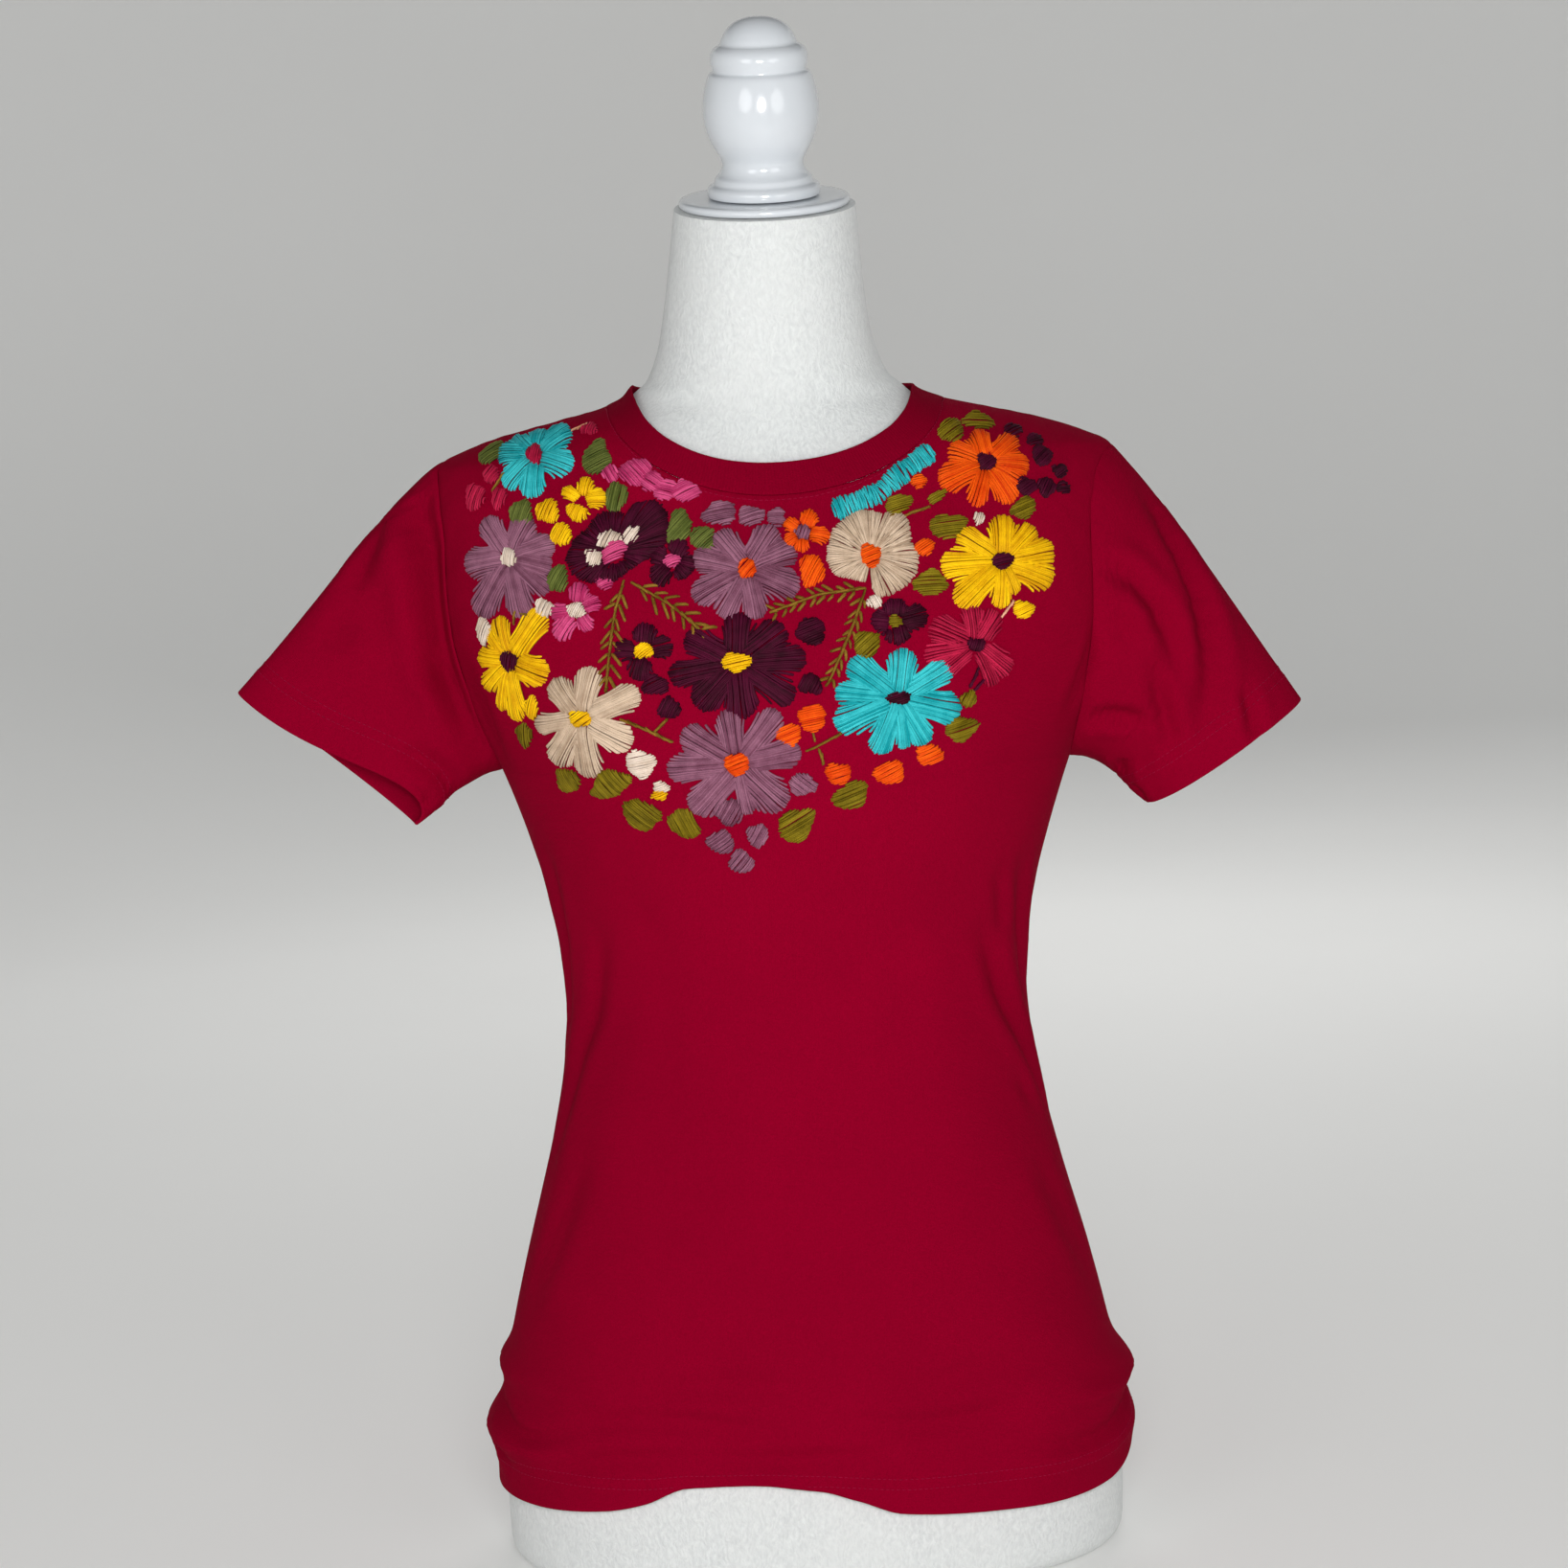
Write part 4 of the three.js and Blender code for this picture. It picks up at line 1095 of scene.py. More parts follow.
def armhole_tape(side):
    """A ring under one armhole, which reaches a little way under the panels and the sleeve."""
    angle = 2 * np.pi * np.arange(SLEEVE_COLUMNS) / SLEEVE_COLUMNS
    climb = np.abs(1 - angle / np.pi) * (HOLE_STEPS - 1)
    k = np.minimum(climb.astype(int), HOLE_STEPS - 2)
    share = (climb - k)[:, None]
    lines = []
    for column in ((-3, -1) if side > 0 else (2, 0)):
        found = []
        for which in (0, 1):
            faces = []
            for name in ("shirt_front", "shirt_back"):
                hole = panels[name][which][-HOLE_STEPS:, column]
                faces.append(hole[k] * (1 - share) + hole[k + 1] * share)
            found.append(np.where((angle > np.pi)[:, None], faces[1], faces[0]))
        lines.append(found)
    for row in (-1, -4):
        lines.append([sleeves[side][0][row], sleeves[side][1][row]])
    under = np.array([places - outs * TAPE_UNDER for places, outs in lines])
    return cloth_wall("tape", under, TAPE, True, np.array([outs for places, outs in lines]))


tapes = []
for name, (grid, out) in panels.items():
    if name == "shirt_front":
        above_hem = int(np.searchsorted(run_along(grid, 0)[:, 0], HEM_TURNED + 3))
        seam = slice(above_hem, BODY_STEPS + 2)
        for way in (1, -1):
            side_edge = grid[seam, ::way][:, :TAPE_LINES]
            tapes.append(seam_tape(side_edge, out[seam, ::way][:, :TAPE_LINES]))
    top_edge = np.swapaxes(grid[::-1][:TAPE_LINES, 1:-1], 0, 1)
    tapes.append(seam_tape(top_edge, np.swapaxes(out[::-1][:TAPE_LINES, 1:-1], 0, 1)))
for side in (-1, 1):
    tapes.append(armhole_tape(side))
allowances = new_piece("seam_allowances", joined("seam_allowances", tapes), CHERRY)


# The topstitching: cherry thread, in twin rows round the hem and both cuffs and one row on the
# shirt just under the neckband. Each stitch is a short loop that sinks at both ends.
STITCH = {"Pitch": 2.9, "Length": 2.5, "Rise": 0.5, "Thickness": 0.42}
NECK_ROW = 2.6  # distance of the row under the neckband


def new_tree(name, **wanted):
    """A tree of geometry nodes with named inputs, and those inputs."""
    tree = bpy.data.node_groups.new(name, "GeometryNodeTree")
    for label, kind in wanted.items():
        tree.interface.new_socket(label, in_out="INPUT", socket_type="NodeSocket" + kind)
    tree.interface.new_socket("Thread", in_out="OUTPUT", socket_type="NodeSocketGeometry")
    return tree, add_node(tree, "NodeGroupInput").outputs


def named(tree, name, kind):
    given = {"Name": name}
    return add_node(tree, "GeometryNodeInputNamedAttribute", given, data_type=kind).outputs[0]


def chance(tree, least, most, **given):
    found = add_node(
        tree, "FunctionNodeRandomValue", {2: least, 3: most, **given}, data_type="FLOAT"
    )
    return found.outputs[1]


def rounded_out(tree, curve, thickness, sides, **more):
    """A curve made round, like thread, with its ends closed."""
    given = {"Resolution": sides, "Radius": calculate(tree, "MULTIPLY", thickness, 0.5)}
    ring = add_node(tree, "GeometryNodeCurvePrimitiveCircle", given, mode="RADIUS").outputs[0]
    given = {"Curve": curve, "Profile Curve": ring, "Fill Caps": True, **more}
    return add_node(tree, "GeometryNodeCurveToMesh", given).outputs[0]


def let_out(tree, shape, finish):
    """The end of a tree: its shape as one smooth mesh in its finish."""
    shape = add_node(tree, "GeometryNodeRealizeInstances", {0: shape}).outputs[0]
    shape = add_node(tree, "GeometryNodeSetShadeSmooth", {0: shape}).outputs[0]
    shape = add_node(tree, "GeometryNodeSetMaterial", {"Geometry": shape, "Material": finish})
    add_node(tree, "NodeGroupOutput", {0: shape.outputs[0]})
    return tree


def stitch_tree():
    """A short loop of thread at every pitch along rows of sewing."""
    tree, given = new_tree(
        "row_of_stitches", Rows="Geometry", Pitch="Float", Length="Float", Rise="Float",
        Thickness="Float", Uneven="Float", Seed="Int", Finish="Material",
    )
    rows = add_node(tree, "GeometryNodeMeshToCurve", {0: given["Rows"]}).outputs[0]
    pitched = {"Curve": rows, "Length": given["Pitch"]}
    pitched = add_node(tree, "GeometryNodeResampleCurve", pitched, mode="LENGTH").outputs[0]
    half = calculate(tree, "MULTIPLY", given["Length"], 0.5)
    back = calculate(tree, "MULTIPLY", half, -1.0)
    sunk = calculate(tree, "MULTIPLY", given["Thickness"], -0.6)
    ends = {"Resolution": 3}
    for label, x, z in (("Start", back, sunk), ("Middle", 0, given["Rise"]), ("End", half, sunk)):
        ends[label] = add_node(tree, "ShaderNodeCombineXYZ", {0: x, 2: z}).outputs[0]
    loop = add_node(tree, "GeometryNodeCurveQuadraticBezier", ends).outputs[0]
    facing = {0: named(tree, "out", "FLOAT_VECTOR")}
    facing[1] = add_node(tree, "GeometryNodeInputTangent").outputs[0]
    facing = add_node(
        tree, "FunctionNodeAxesToRotation", facing, primary_axis="Z", secondary_axis="X"
    )
    least = calculate(tree, "SUBTRACT", 1.0, given["Uneven"])
    placed = add_node(
        tree,
        "GeometryNodeInstanceOnPoints",
        {
            "Points": pitched,
            "Instance": rounded_out(tree, loop, given["Thickness"], 4),
            "Rotation": facing.outputs[0],
            "Scale": chance(tree, least, 1.0, Seed=given["Seed"]),
        },
    )
    return let_out(tree, placed.outputs[0], given["Finish"])


def polylines(name, lines, **extra):
    """A mesh of open lines; each is (points, outward directions) with the cloth's own place."""
    points = np.concatenate([line[0] for line in lines]) * MM
    out = np.concatenate([line[1] for line in lines])
    ends = np.cumsum([len(line[0]) for line in lines])
    edges = np.stack((np.arange(len(points) - 1), np.arange(1, len(points))), -1)
    edges = edges[~np.isin(edges[:, 1], ends)]
    mesh = bpy.data.meshes.new(name)
    mesh.from_pydata(points.tolist(), edges.tolist(), [])
    mesh.attributes.new("out", "FLOAT_VECTOR", "POINT").data.foreach_set("vector", out.ravel())
    for key, values in extra.items():
        values = np.concatenate(values).astype(np.float32)
        mesh.attributes.new(key, "FLOAT", "POINT").data.foreach_set("value", values)
    return mesh


def grown(name, mesh, tree, inputs):
    """The plain mesh that a tree of nodes makes of a mesh, with its inputs set first."""
    source = bpy.data.objects.new(name, mesh)
    scene.collection.objects.link(source)
    nodes = source.modifiers.new("nodes", "NODES")
    nodes.node_group = tree
    for item in tree.interface.items_tree:
        if item.in_out == "INPUT" and item.name in inputs:
            nodes[item.identifier] = inputs[item.name]
    seen = source.evaluated_get(bpy.context.evaluated_depsgraph_get())
    made = bpy.data.meshes.new_from_object(seen)
    source.modifiers.clear()
    bpy.data.objects.remove(source)
    return made


def needle_rows(grid, out, distance, hidden=0, closed=False):
    """Lines on a grid's outer face at a distance from its first row, where it shows."""
    run = run_along(grid, 0) + hidden
    lines = []
    for values in (grid + out * JERSEY / 2, out):
        line = [[np.interp(distance, run[:, j], values[:, j, k]) for k in range(3)]
                for j in range(grid.shape[1])]
        lines.append(np.array(line + line[:1] if closed else line))
    shows = np.append(run[0], run[0][:1] if closed else []) < distance - 1
    cuts = np.flatnonzero(np.diff(shows.astype(int))) + 1
    parts = zip(*(np.split(values, cuts) for values in (*lines, shows)))
    return [(points, outs) for points, outs, seen in parts if seen[0] and len(points) > 3]


def sewing_cotton():
    """Fine cherry thread, a little brighter and smoother than the jersey."""
    dull = {"Specular IOR Level": 0.08}
    made, tree, shader, place = new_finish("cherry_sewing_thread", 0.6, dull)
    cloud = noise(tree, place, 900, 2)
    tone = blend(tree, cloud, linear(122, 2, 38), linear(166, 22, 64))
    coat(tree, shader, tone, cloud, 0.4, 0.0001)
    return made


rows = []
for name, (grid, out) in panels.items():
    across = np.linspace(-1, 1, grid.shape[1])
    hidden = read(HEM, across if name == "shirt_front" else 2 - across)["hidden"]
    for distance in NEEDLES:
        rows += needle_rows(grid, out, distance, hidden)
    shown = np.abs(across) < NECK_SHARE
    rows += needle_rows(grid[::-1][:, shown], out[::-1][:, shown], NECK_ROW)
for side in (-1, 1):
    for distance in NEEDLES:
        rows += needle_rows(*sleeves[side], distance, closed=True)
SEWING = sewing_cotton()
mesh = grown("topstitching", polylines("rows", rows), stitch_tree(), {
    **{label: size * MM for label, size in STITCH.items()},
    "Uneven": 0.15,
    "Seed": 4,
    "Finish": SEWING,
})
topstitching = new_piece("topstitching", mesh, SEWING)


# The embroidery: thick loose strands of cotton, laid by hand on the front in satin stitch. Each
# petal, leaf and bud is a row of long stitches side by side, ragged at the ends; the sprigs are
# stem stitch. Places are measured on the front, across and up, in millimetres.
PITCH = 1.06  # between stitches that lie side by side
SUNK = 0.5  # how deep their ends go in
RIM_SAMPLES, OVAL_POINTS = 60, 36
PETAL_WIDER = 1.08  # than its given width
CLOSENESS = {"crimson": 0.74}  # of a petal's stitches, 1.03 in every other thread
RAGGED, DOME = 0.5, 0.5  # of a filled shape, how uneven its ends are and how much it swells
rng = np.random.default_rng(11)
threads = {name: {"places": [], "rise": [], "tone": []} for name in (
    "turquoise", "yellow", "mauve", "aubergine", "taupe", "olive", "leaf_green", "pink",
    "orange", "cream", "crimson", "sprig_brown", "peach",
)}


def stitch(colour, start, end, rise, tone=0, bow=0):
    """One stitch from start to end, bowed to one side, that sinks in at both ends."""
    start, end = np.array(start, float), np.array(end, float)
    length = max(float(np.hypot(*(end - start))), 0.8)
    inside = np.linspace(0.7 / length, 1 - 0.7 / length, max(3, round(length / 3.6) + 1))
    inside = np.clip(inside, 0.12, 0.88) if length < 3.5 else inside
    t = np.concatenate(([0], inside, [1]))
    aside = np.array((start[1] - end[1], end[0] - start[0])) / length
    places = start + (end - start) * t[:, None] + aside * (bow * np.sin(np.pi * t))[:, None]
    height = rise * (1 - np.abs(2 * t - 1) ** 6)
    height[[0, -1]] = -SUNK
    threads[colour]["places"].append(places)
    threads[colour]["rise"].append(height)
    threads[colour]["tone"].append(np.full(len(t), tone + rng.normal(0, 0.14)))


def rotated(points, degrees, middle=(0, 0)):
    turn = math.radians(degrees)
    points = np.asarray(points, float)
    x = points[..., 0] * math.cos(turn) - points[..., 1] * math.sin(turn)
    z = points[..., 0] * math.sin(turn) + points[..., 1] * math.cos(turn)
    return np.stack((x, z), -1) + middle


def petal(colour, middle, angle, reach, width, heart, low=0.0):
    """A block of stitches from the heart out to a rounded, ragged end, nearly side by side. Those
    at its sides start further out, where the next petal leaves room."""
    width *= PETAL_WIDER
    tone = rng.normal(0, 0.09)
    lean = rng.uniform(-6, 6)
    count = max(4, round(width / PITCH * CLOSENESS.get(colour, 1.03)))
    for k in rng.permutation(count):
        side = 2 * (k + 0.5) / count - 1 + rng.normal(0, 0.03)
        tip = reach - 0.62 * width * (1 - math.sqrt(1 - min(abs(side), 1) ** 2.3))
        tip += rng.uniform(-0.5, 0.4)
        root = heart * 0.75 + rng.uniform(0, 1.1) + 0.2 * (reach - heart) * side**2
        narrow = 0.74 + 0.1 * rng.random()
        ends = rotated([(root, side * width / 2 * narrow), (tip, side * width / 2)], angle, middle)
        ends[1] += rotated((0, math.tan(math.radians(lean)) * (tip - root) * 0.3), angle)
        rise = 0.4 - low + 0.75 * (1 - side**2) + 0.35 * rng.random()
        stitch(colour, ends[0], ends[1], rise, tone, -side * width * 0.05)


def lobe(colour, middle, rim, heart):
    """A broad petal: stitches from a smooth rim in towards the heart, every other one short."""
    tone = rng.normal(0, 0.06)
    rim = curve_through(rim, RIM_SAMPLES)
    length = np.hypot(*np.diff(rim, axis=0).T).sum()
    count = round(length / PITCH)
    for k in rng.permutation(count):
        place = (k + 0.5) / count * (RIM_SAMPLES - 1)
        edge = rim[int(place)] * (1 + rng.uniform(-0.03, 0.02))
        reach = float(np.hypot(*edge))
        stop = heart * 0.8 + rng.uniform(0, 0.8) + 0.3 * (reach - heart) * (k % 2)
        side = 2 * place / (RIM_SAMPLES - 1) - 1
        rise = 0.45 + 0.6 * (1 - side**4) + 0.35 * rng.random()
        stitch(colour, middle + edge * (stop / reach), middle + edge, rise, tone, rng.normal(0, 0.3))


def filled(colour, outline, across, rise, tone=0.0):
    """Parallel stitches, at an angle, that fill an outline."""
    outline = rotated(outline, -across)
    ring = np.concatenate((outline, outline[:1]))
    low, high = ring[:, 1].min(), ring[:, 1].max()
    count = max(3, round((high - low) / (0.94 * PITCH)))
    for k in rng.permutation(count):
        level = low + (high - low) * (k + 0.5) / count
        a, b = ring[:-1], ring[1:]
        cross = (a[:, 1] - level) * (b[:, 1] - level) <= 0
        share = (level - a[cross, 1]) / (b[cross, 1] - a[cross, 1] + 1e-9)
        hits = a[cross, 0] + (b[cross, 0] - a[cross, 0]) * share
        if len(hits) < 2 or hits.max() - hits.min() < 0.8:
            continue
        slip = rng.normal(0, 0.07)
        ends = [(hits.min() + rng.uniform(-RAGGED, RAGGED), level + slip),
                (hits.max() + rng.uniform(-RAGGED, RAGGED), level + slip)]
        ends = rotated(ends, across)
        side = 2 * (k + 0.5) / count - 1
        lift = rise + DOME * (1 - side**2) + 0.2 * rng.random()
        stitch(colour, ends[0], ends[1], lift, tone, rng.normal(0, 0.2))


def oval(colour, x, z, long, short, lean, across, pointed=0.0, rise=0.55):
    """A filled oval, or a leaf with pointed ends."""
    angle = np.linspace(0, 2 * np.pi, OVAL_POINTS, endpoint=False)
    narrow = np.abs(np.sin(angle)) ** pointed
    wobble = 1 + 0.03 * rng.normal(size=OVAL_POINTS)
    for waves, deep in ((2, 0.05), (3, 0.09), (4, 0.05)):
        wobble += deep * np.sin(waves * angle + rng.uniform(0, 2 * np.pi))
    points = np.stack((long / 2 * np.cos(angle), short / 2 * np.sin(angle) * narrow), -1)
    outline = rotated(points * wobble[:, None], lean, (x, z))
    filled(colour, outline, across, rise, rng.normal(0, 0.06))


# Flowers: thread, place of the heart, its thread, width, height and slant of its stitches, and
# the petals by direction in degrees, reach and width.
FLOWERS = [
    ("turquoise", -126, 607, "crimson", 8, 10, 80, [
        (34, 22, 14), (-20, 21.5, 16), (-93, 22, 14), (-135, 22.5, 13), (178, 20.5, 13),
        (143, 17, 13), (74, 14, 15)]),
    ("mauve", -140, 555, "cream", 8, 10, 80, [
        (122, 24, 14), (62, 23, 15), (16, 25, 14), (-42, 27, 11), (-15, 23, 13), (-78, 31, 15),
        (192, 25, 18), (-121, 35, 16)]),
    ("yellow", -101, 583, None, 5, 6, 0, [
        (75, 12, 9), (5, 13, 11), (-112, 11, 13), (150, 11.5, 8)]),
    ("pink", -105, 528, "cream", 9, 8.5, 60, [
        (80, 14, 11), (20, 13, 9), (-57, 12, 9), (-128, 18, 11), (186, 13.5, 10)]),
    ("yellow", -142, 502, "aubergine", 8.5, 11, 80, [
        (102, 23, 11), (122, 20, 9), (52, 32, 15), (-20, 22, 17), (-77, 28, 8), (-86, 32, 9),
        (-102, 27, 8), (-132, 21, 12), (174, 17.5, 13)]),
    ("taupe", -105, 473, "yellow", 11.5, 9, 35, [
        (189, 25, 12), (76, 27, 15), (24, 34, 14), (-25, 29, 17), (-84, 31, 15),
        (-122, 29, 17), (124, 24, 15)]),
    ("aubergine", -71, 507, "yellow", 9.5, 8, 35, [
        (80, 14, 14), (10, 15, 12), (-104, 15, 13), (176, 15, 11)]),
    ("aubergine", -55, 551, "pink", 9.5, 6.5, 20, [
        (62, 12, 12), (-15, 12, 12), (-45, 11, 10), (-134, 14.5, 12), (158, 11.5, 11)]),
    ("mauve", -17, 546, "orange", 9, 10, 45, [
        (127, 24, 15), (167, 28.5, 14), (206, 31, 14), (-122, 27, 14), (-80, 25, 13),
        (54, 25, 16), (19, 26.5, 15), (-24, 28, 17)]),
    ("aubergine", -24, 500, "yellow", 15, 9.5, 10, [
        (86, 25, 15), (153, 29, 15), (191, 35, 13), (-134, 30, 17), (-86, 28, 18), (-34, 34, 15),
        (1, 35, 15), (35, 30, 18)]),
    ("mauve", -26, 449, "orange", 12, 12, 20, [
        (98, 28, 14), (49, 34, 14), (10, 33, 15), (-79, 27, 8), (-45, 33, 20), (-131, 34, 18),
        (182, 35.5, 15), (147, 32, 17)]),
    ("turquoise", 57, 479, "aubergine", 14, 6, 15, [
        (82, 24.5, 16), (27, 31, 14), (-15, 33, 17), (-60, 28, 13), (-84, 26, 8), (-112, 30, 14),
        (201, 35, 16), (174, 32, 13), (140, 31, 15)]),
    ("orange", 109, 594, "aubergine", 10, 8.5, 30, [
        (104, 17, 13), (160, 21, 14), (200, 27, 16), (-111, 23, 11), (-60, 24, 14),
        (-35, 21, 12), (-6, 22.5, 13), (34, 21, 12)]),
    ("yellow", 114, 544, "aubergine", 12, 8.5, 10, [
        (88, 23, 15), (43, 24, 14), (6, 28, 17), (-23, 29, 17), (-70, 18, 8), (-97, 23.5, 11),
        (-141, 32, 16), (180, 32, 17), (146, 27, 13)]),
    ("crimson", 98, 503, "aubergine", 9, 7, 70, [
        (55, 20, 14), (95, 20, 13), (152, 26, 16), (187, 27, 12), (215, 21, 10), (-42, 23, 15),
        (-68, 23, 9)]),
    ("aubergine", 57, 517, "olive", 7, 6, 0, [
        (85, 11.5, 14), (10, 17, 13), (-80, 11.5, 16), (175, 12, 13)]),
    ("orange", 12, 563, "mauve", 8, 7, 70, [
        (60, 12, 10), (145, 10.5, 8), (-12, 14, 9), (-97, 10, 8), (209, 10.5, 7)]),
]
for colour, x, z, heart_colour, wide, tall, slant, petals in FLOWERS:
    for number, (angle, reach, width) in enumerate(petals):
        edge = math.radians(angle)
        heart = 1 / math.hypot(math.cos(edge) / (wide / 2), math.sin(edge) / (tall / 2))
        petal(colour, (x, z), angle, reach, width, heart, 0.12 * (number % 2))
    if heart_colour:
        oval(heart_colour, x, z, wide, tall, 0, slant, rise=1.0)

# Two flowers have broad petals with a smooth rim: one in two lobes round a pink and cream heart,
# and one in three, like a shell. Their rims are measured from the heart.
lobe("aubergine", (-85, 556.5), [
    (7, 18.5), (12, 24), (20, 25.5), (27, 21), (29, 12), (27, 4), (21, -2), (12, -6)], 7)
lobe("aubergine", (-85, 556.5), [
    (13, -6), (7, -10), (-2, -15), (-13, -15), (-21, -11), (-25, -3), (-22, 4.5), (-13.5, 13),
    (-8, 19), (0, 21), (7, 18.5)], 7)
filled("cream", [(-94, 559), (-92, 565.5), (-86, 567.5), (-81, 565), (-80, 562), (-89, 559)], 62, 1.3)
filled("cream", [(-80, 564.5), (-76, 569), (-70.5, 569.5), (-71, 565), (-74.5, 560), (-79, 560)],
       52, 1.3)
filled("cream", [(-99.5, 551.5), (-99, 557), (-97, 559), (-91, 556), (-91.5, 550), (-96, 549)],
       68, 1.3)
filled("pink", [(-91.5, 556), (-86, 561), (-79.5, 562), (-77, 558.5), (-81, 554), (-90, 550)],
       22, 1.5)
lobe("taupe", (46, 550), [
    (7, 21), (-3, 23), (-12, 19), (-19.5, 11.5), (-22, -1), (-18, -8.5), (-10, -11), (-2.5, -13)],
     5.5)
lobe("taupe", (46, 550), [(9, 21.5), (15.5, 21), (20.5, 16), (21.5, 9), (20, 5)], 5.5)
lobe("taupe", (46, 550), [(22, 5), (25, -1), (23, -9), (15.5, -17), (4, -20.5), (0, -16)], 5.5)
oval("orange", 46, 550, 11, 12, 0, 20, rise=1.0)
oval("mauve", -31, 424, 14, 13, 60, 60, rise=1.3)  # a bud over the lowest flower

# Leaves: place, length, width, slant and slant of the stitches. Those on the left are greener.
LEAVES = [
    (-150, 608, 15, 9, 30, 30), (-93, 604, 17, 15, 60, 25), (-133, 577, 15, 12, 90, 70),
    (-83, 584, 16, 11.5, 80, 75), (-51, 568, 18, 12.5, 65, 45), (-39, 562, 13, 12, 20, 40),
    (-114, 544, 14.5, 10.5, 80, 60), (-136, 463, 13, 9, 95, 90), (-114, 440, 14, 12, -50, -60),
    (-91, 439, 22, 14, 20, -50), (-76, 423, 21, 15, -20, -40), (-54, 418, 18, 14, -30, -65),
    (3, 416, 21, 16, 35, 30), (31, 430, 19, 14, 15, 20), (89, 461, 17, 13, 10, 15),
    (93, 476, 9, 8, 60, 60), (42, 506, 14, 13, 60, 40), (76, 535, 19, 12, 0, 0),
    (87, 563, 21, 12, 10, 5), (127, 570, 14, 11, 20, 20), (62, 575, 15, 9, 15, 15),
    (82, 578, 11, 5, 25, 25), (92, 611, 14, 12, 40, 30), (107, 615, 17, 9, -10, -5),
]
for x, z, long, short, lean, across in LEAVES:
    colour = "leaf_green" if z > 540 and x < 0 else "olive"
    oval(colour, x, z, long, short, lean, across, pointed=0.35, rise=0.5)

# Buds and berries of each thread: place, width, height, slant of the stitches.
BUDS = [
    ("mauve", [
        (-30, 574, 17, 12, 10), (-14, 572, 13, 10, 15), (-1, 571, 9, 9, 0), (-36, 408, 14, 12, 35),
        (-17, 411, 10, 13, 60), (-26, 397, 12, 12, 50), (7, 437, 14, 11, -40)]),
    ("orange", [
        (16, 544, 13, 15, 60), (13, 471, 13, 14, 10), (1, 463, 12, 11, 20), (25, 442, 13, 11, 15),
        (51, 441, 15, 12, 25), (72, 449, 13, 11, 20), (73, 586, 8, 7, 10), (74, 553, 10, 8, 30)]),
    ("aubergine", [
        (14, 514, 15, 13, 20), (13, 488, 11, 10, 60), (-66, 490, 14, 10, 25),
        (-59, 478, 11, 11, 60), (125, 609, 10, 7, 20), (136, 604, 9, 6, 10),
        (139, 596, 11, 10, 40), (148, 588, 8, 7, 30), (129, 581, 11, 9, 30), (140, 580, 9, 10, 60),
        (149, 579, 7, 6, 0)]),
    ("cream", [(-75, 450, 15, 14, 12), (-65, 438, 8, 5, 20)]),
    ("yellow", [(-66, 433.5, 8, 5, 20)]),
    ("cream", [
        (-122, 529, 9, 10, 65), (-155, 517, 9, 13, 70), (47, 527, 7, 6, -60), (103, 566, 5, 6, 70)]),
    ("yellow", [
        (-131, 478, 7, 13, 75), (-119, 578, 12, 12, 65), (-112, 566, 11, 11, 60),
        (124, 519, 11, 9, 20)]),
    ("pink", [
        (-86, 596, 8, 9, -60), (-90, 541, 9, 6, 20), (-73, 596.5, 16, 13, -48),
        (-64, 591, 13, 10, -35), (-58, 587, 12, 11, -15), (-47, 586, 14, 10.5, 24)]),
    ("crimson", [
        (-149, 597, 9, 9, 50), (-158, 586, 11, 13, 70), (-145, 585, 8, 11, 70),
        (-97, 619, 9, 6, 60)]),
]
for colour, places in BUDS:
    for x, z, wide, tall, across in places:
        oval(colour, x, z, wide, tall, 0, across)


def place_at(path, at, s):
    """The place at a length along a path, whose own lengths are at."""
    return np.array([np.interp(s, at, path[:, k]) for k in (0, 1)])


def heading(step):
    return math.degrees(math.atan2(step[1], step[0]))


def bar(colour, path, thick, slant):
    """A thick wavy line of stitches laid across it."""
    path = np.array(path, float)
    at = lengths_of(path)
    for s in np.arange(0.5, at[-1], PITCH * 0.9):
        here = place_at(path, at, s)
        along = heading(place_at(path, at, s + 1) - here) if s < at[-1] - 1 else along
        half = thick / 2 * (1 + 0.1 * math.sin(s / 2.7) + rng.normal(0, 0.07))
        half *= min(1, 0.55 + min(s, at[-1] - s) / 5)
        ends = rotated([(0, -half), (0, half)], along + slant + rng.normal(0, 5), here)
        stitch(colour, ends[0], ends[1], 0.8 + 0.4 * rng.random(), 0, rng.normal(0, 0.3))


def sprig(colour, path, twigs=0, reach=7.2, every=6.2):
    """Stem stitch along a path, with short side stitches that stand off it."""
    path = np.array(path, float)
    at = lengths_of(path)
    for row in range(2):
        for s in np.arange(row * 2.6, at[-1] - 1.5, 5.2):
            ends = [place_at(path, at, end) for end in (s, s + 7.4)]
            shift = rng.normal(0, 0.25, 2) + (0.5 * row, 0.3 * row)
            stitch(colour, ends[0] + shift, ends[1] - shift * 0.6, 0.6 + 0.3 * row)
    for k in range(int(twigs)):
        s = 5 + k * every + rng.uniform(-0.8, 0.8)
        if s > at[-1]:  # the stem ends before its twigs do
            break
        here = place_at(path, at, s)
        along = heading(place_at(path, at, s - 2) - here)
        for side in (-1, 1):
            far = 1.6 + reach * rng.uniform(0.75, 1.2)
            angle = along + 180 + side * rng.uniform(28, 48)
            near = rotated((1.5, 0), angle, here)
            away = rotated((far, 0), angle, here)
            stitch(colour, near, away, 0.55)
            nudge = rotated((0.6, 0.45), angle)
            stitch(colour, near + nudge, away + rotated((-0.8, 0.3), angle), 0.7)


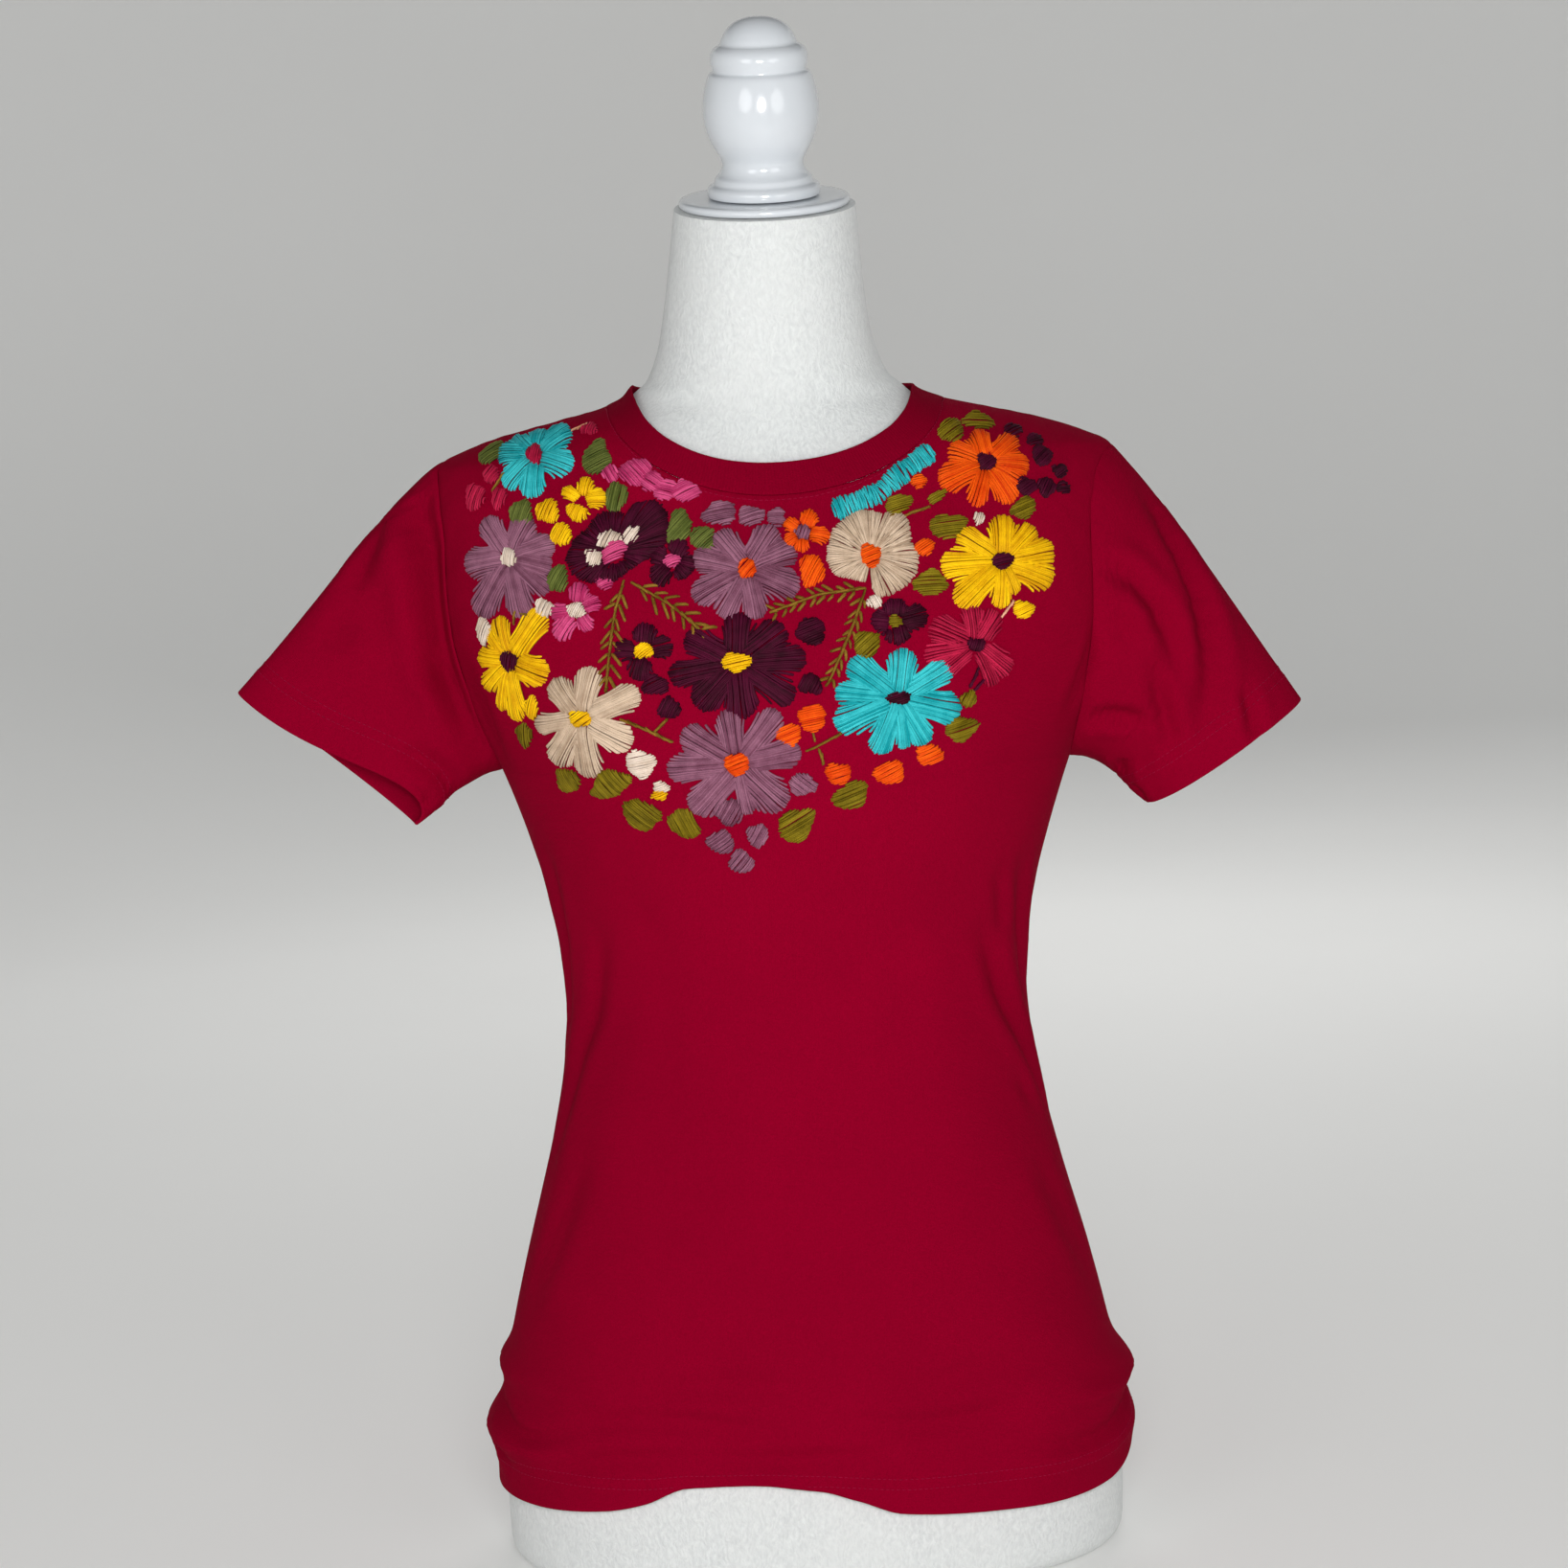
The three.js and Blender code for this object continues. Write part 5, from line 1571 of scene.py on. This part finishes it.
bar("turquoise", [(28, 573), (41, 577.5), (52, 581), (60, 587.5), (69, 594), (81, 601.5)], 9.8, 0)
sprig("sprig_brown", [(-80, 542), (-84, 530), (-86, 522), (-90, 495), (-91, 487)], 8)
sprig("sprig_brown", [(-76, 541), (-66, 535), (-57, 530), (-42, 517)], 7)
sprig("sprig_brown", [(43, 534), (32, 533), (19, 532), (-6, 524)], 9, 5, 5.2)
sprig("sprig_brown", [(43, 534), (35, 515), (25, 494), (21, 487)], 9, 5, 5.2)
for path in (
    [(-84, 473), (-72, 468), (-58, 461)], [(-67, 466), (-60, 473)], [(9, 454), (18, 458), (28, 463)],
    [(16, 455), (18, 447)], [(13, 464), (14, 459)], [(-149, 588), (-142, 598)],
    [(-139, 521), (-137, 528)], [(-136, 527), (-129, 525)], [(64, 569), (71, 571), (78, 573)],
    [(54, 567), (60, 570)],
):
    sprig("sprig_brown", path)
for path in ([(-107, 618), (-98, 621)], [(111, 515), (119, 524)]):
    sprig("peach", path)
for path in ([(101, 496), (94, 482)], [(103, 487), (96, 480)]):
    sprig("aubergine", path)


# Places on the front are carried onto the cloth itself, straight back from in front of it.
front_grid, front_out = panels["shirt_front"]
face = front_grid + front_out * JERSEY / 2
index = np.arange(face.shape[0] * face.shape[1]).reshape(face.shape[:2])
quads = np.stack((index[:-1, :-1], index[:-1, 1:], index[1:, 1:], index[1:, :-1]), -1)
cloth = BVHTree.FromPolygons(face.reshape(-1, 3).tolist(), quads.reshape(-1, 4).tolist())


def onto_cloth(places, far_ahead=-300, about=-60):
    """One stitch's places on the cloth. Where it turns away they stay near each other."""
    points, outs = [], []
    for x, z in places:
        hit, normal, _, _ = cloth.ray_cast(Vector((x, far_ahead, z)), Vector((0, 1, 0)))
        before = points[-1] if points else Vector((x, about, z))
        most = 0.5 + 1.7 * math.hypot(x - before.x, z - before.z)
        if hit is None:
            hit, normal, _, _ = cloth.find_nearest(Vector((x, before.y, z)))
        elif points and (hit - before).length > most:
            near = before + (hit - before).normalized() * most
            hit, normal, _, _ = cloth.find_nearest(near)
        normal = normal if normal.y < 0 or normal.z > 0.5 else -normal
        points.append(hit)
        outs.append(normal)
    return np.array(points), np.array(outs)


def thread_tree():
    """Stitches as strands of thread: each line is lifted off the cloth by its own rise."""
    tree, given = new_tree(
        "laid_thread", Stitches="Geometry", Thickness="Float", Uneven="Float", Seed="Int",
        Finish="Material",
    )
    lines = add_node(tree, "GeometryNodeMeshToCurve", {0: given["Stitches"]}).outputs[0]
    number = add_node(tree, "GeometryNodeCurveOfPoint").outputs["Curve Index"]
    lift = scaled(tree, named(tree, "out", "FLOAT_VECTOR"), named(tree, "rise", "FLOAT"))
    raised = add_node(tree, "GeometryNodeSetPosition", {"Geometry": lines, "Offset": lift})
    run = add_node(tree, "GeometryNodeSplineParameter").outputs["Length"]
    kept = add_node(
        tree,
        "GeometryNodeStoreNamedAttribute",
        {"Geometry": raised.outputs[0], "Name": "run", "Value": run},
        data_type="FLOAT",
        domain="POINT",
    )
    least = calculate(tree, "SUBTRACT", 1.0, given["Uneven"])
    most = calculate(tree, "ADD", 1.0, given["Uneven"])
    size = chance(tree, least, most, ID=number, Seed=given["Seed"])
    strand = rounded_out(tree, kept.outputs[0], given["Thickness"], 6, Scale=size)
    return let_out(tree, strand, given["Finish"])


def embroidery_cotton(name, dark, light):
    """Soft stranded cotton in one colour, dark with painted shade in the furrows between its strands.
    """
    shine = {"Specular IOR Level": 0.1, "Sheen Weight": 0.05, "Sheen Roughness": 0.4}
    shine["Sheen Tint"] = linear(*light)
    made, tree, shader, place = new_finish(name, 0.6, shine)
    tone = add_node(tree, "ShaderNodeAttribute", attribute_name="tone").outputs["Fac"]
    fuzz = noise(tree, place, 1400, 3, 0.65)
    mixed = calculate(tree, "MULTIPLY_ADD", fuzz, 0.55, tone)
    mixed = calculate(tree, "MULTIPLY_ADD", noise(tree, place, 160, 3), 0.9, mixed)
    colour = blend(tree, ranged(tree, mixed, 0.4, 1.05), linear(*dark), linear(*light))
    # painted shade: each strand's colour darkens on its flanks, where its surface turns away from the
    # cloth
    out = add_node(tree, "ShaderNodeAttribute", attribute_name="out").outputs["Vector"]
    normal = add_node(tree, "ShaderNodeNewGeometry").outputs["Normal"]
    facing = add_node(tree, "ShaderNodeVectorMath", {0: normal, 1: out}, operation="DOT_PRODUCT")
    shade = ranged(tree, facing.outputs["Value"], 0.15, 0.85, 0.4, 1.04)
    coat(tree, shader, scaled(tree, colour, shade), fuzz, 0.55, 0.0002)
    return made


COLOURS = {
    "turquoise": ((8, 146, 154), (64, 198, 204)),
    "yellow": ((210, 148, 0), (252, 202, 8)),
    "mauve": ((108, 60, 80), (152, 100, 122)),
    "aubergine": ((44, 0, 18), (78, 6, 40)),
    "taupe": ((168, 142, 118), (216, 191, 166)),
    "olive": ((90, 76, 0), (136, 118, 20)),
    "leaf_green": ((66, 76, 26), (106, 114, 52)),
    "pink": ((170, 38, 90), (220, 84, 136)),
    "orange": ((210, 56, 0), (244, 94, 8)),
    "cream": ((196, 174, 154), (236, 218, 202)),
    "crimson": ((142, 6, 44), (192, 30, 70)),
    "sprig_brown": ((98, 70, 12), (142, 108, 36)),
    "peach": ((206, 140, 100), (240, 180, 150)),
}
THREAD_TREE = thread_tree()
for number, (name, laid) in enumerate(threads.items()):
    lines = [onto_cloth(places) for places in laid["places"]]
    rises = [height * MM for height in laid["rise"]]
    source = polylines(name, lines, rise=rises, tone=laid["tone"])
    finish = embroidery_cotton(name + "_cotton", *COLOURS[name])
    mesh = grown(name, source, THREAD_TREE, {
        "Thickness": 1.34 * MM,
        "Uneven": 0.2,
        "Seed": 20 + number,
        "Finish": finish,
    })
    new_piece("embroidery_" + name, mesh, finish)
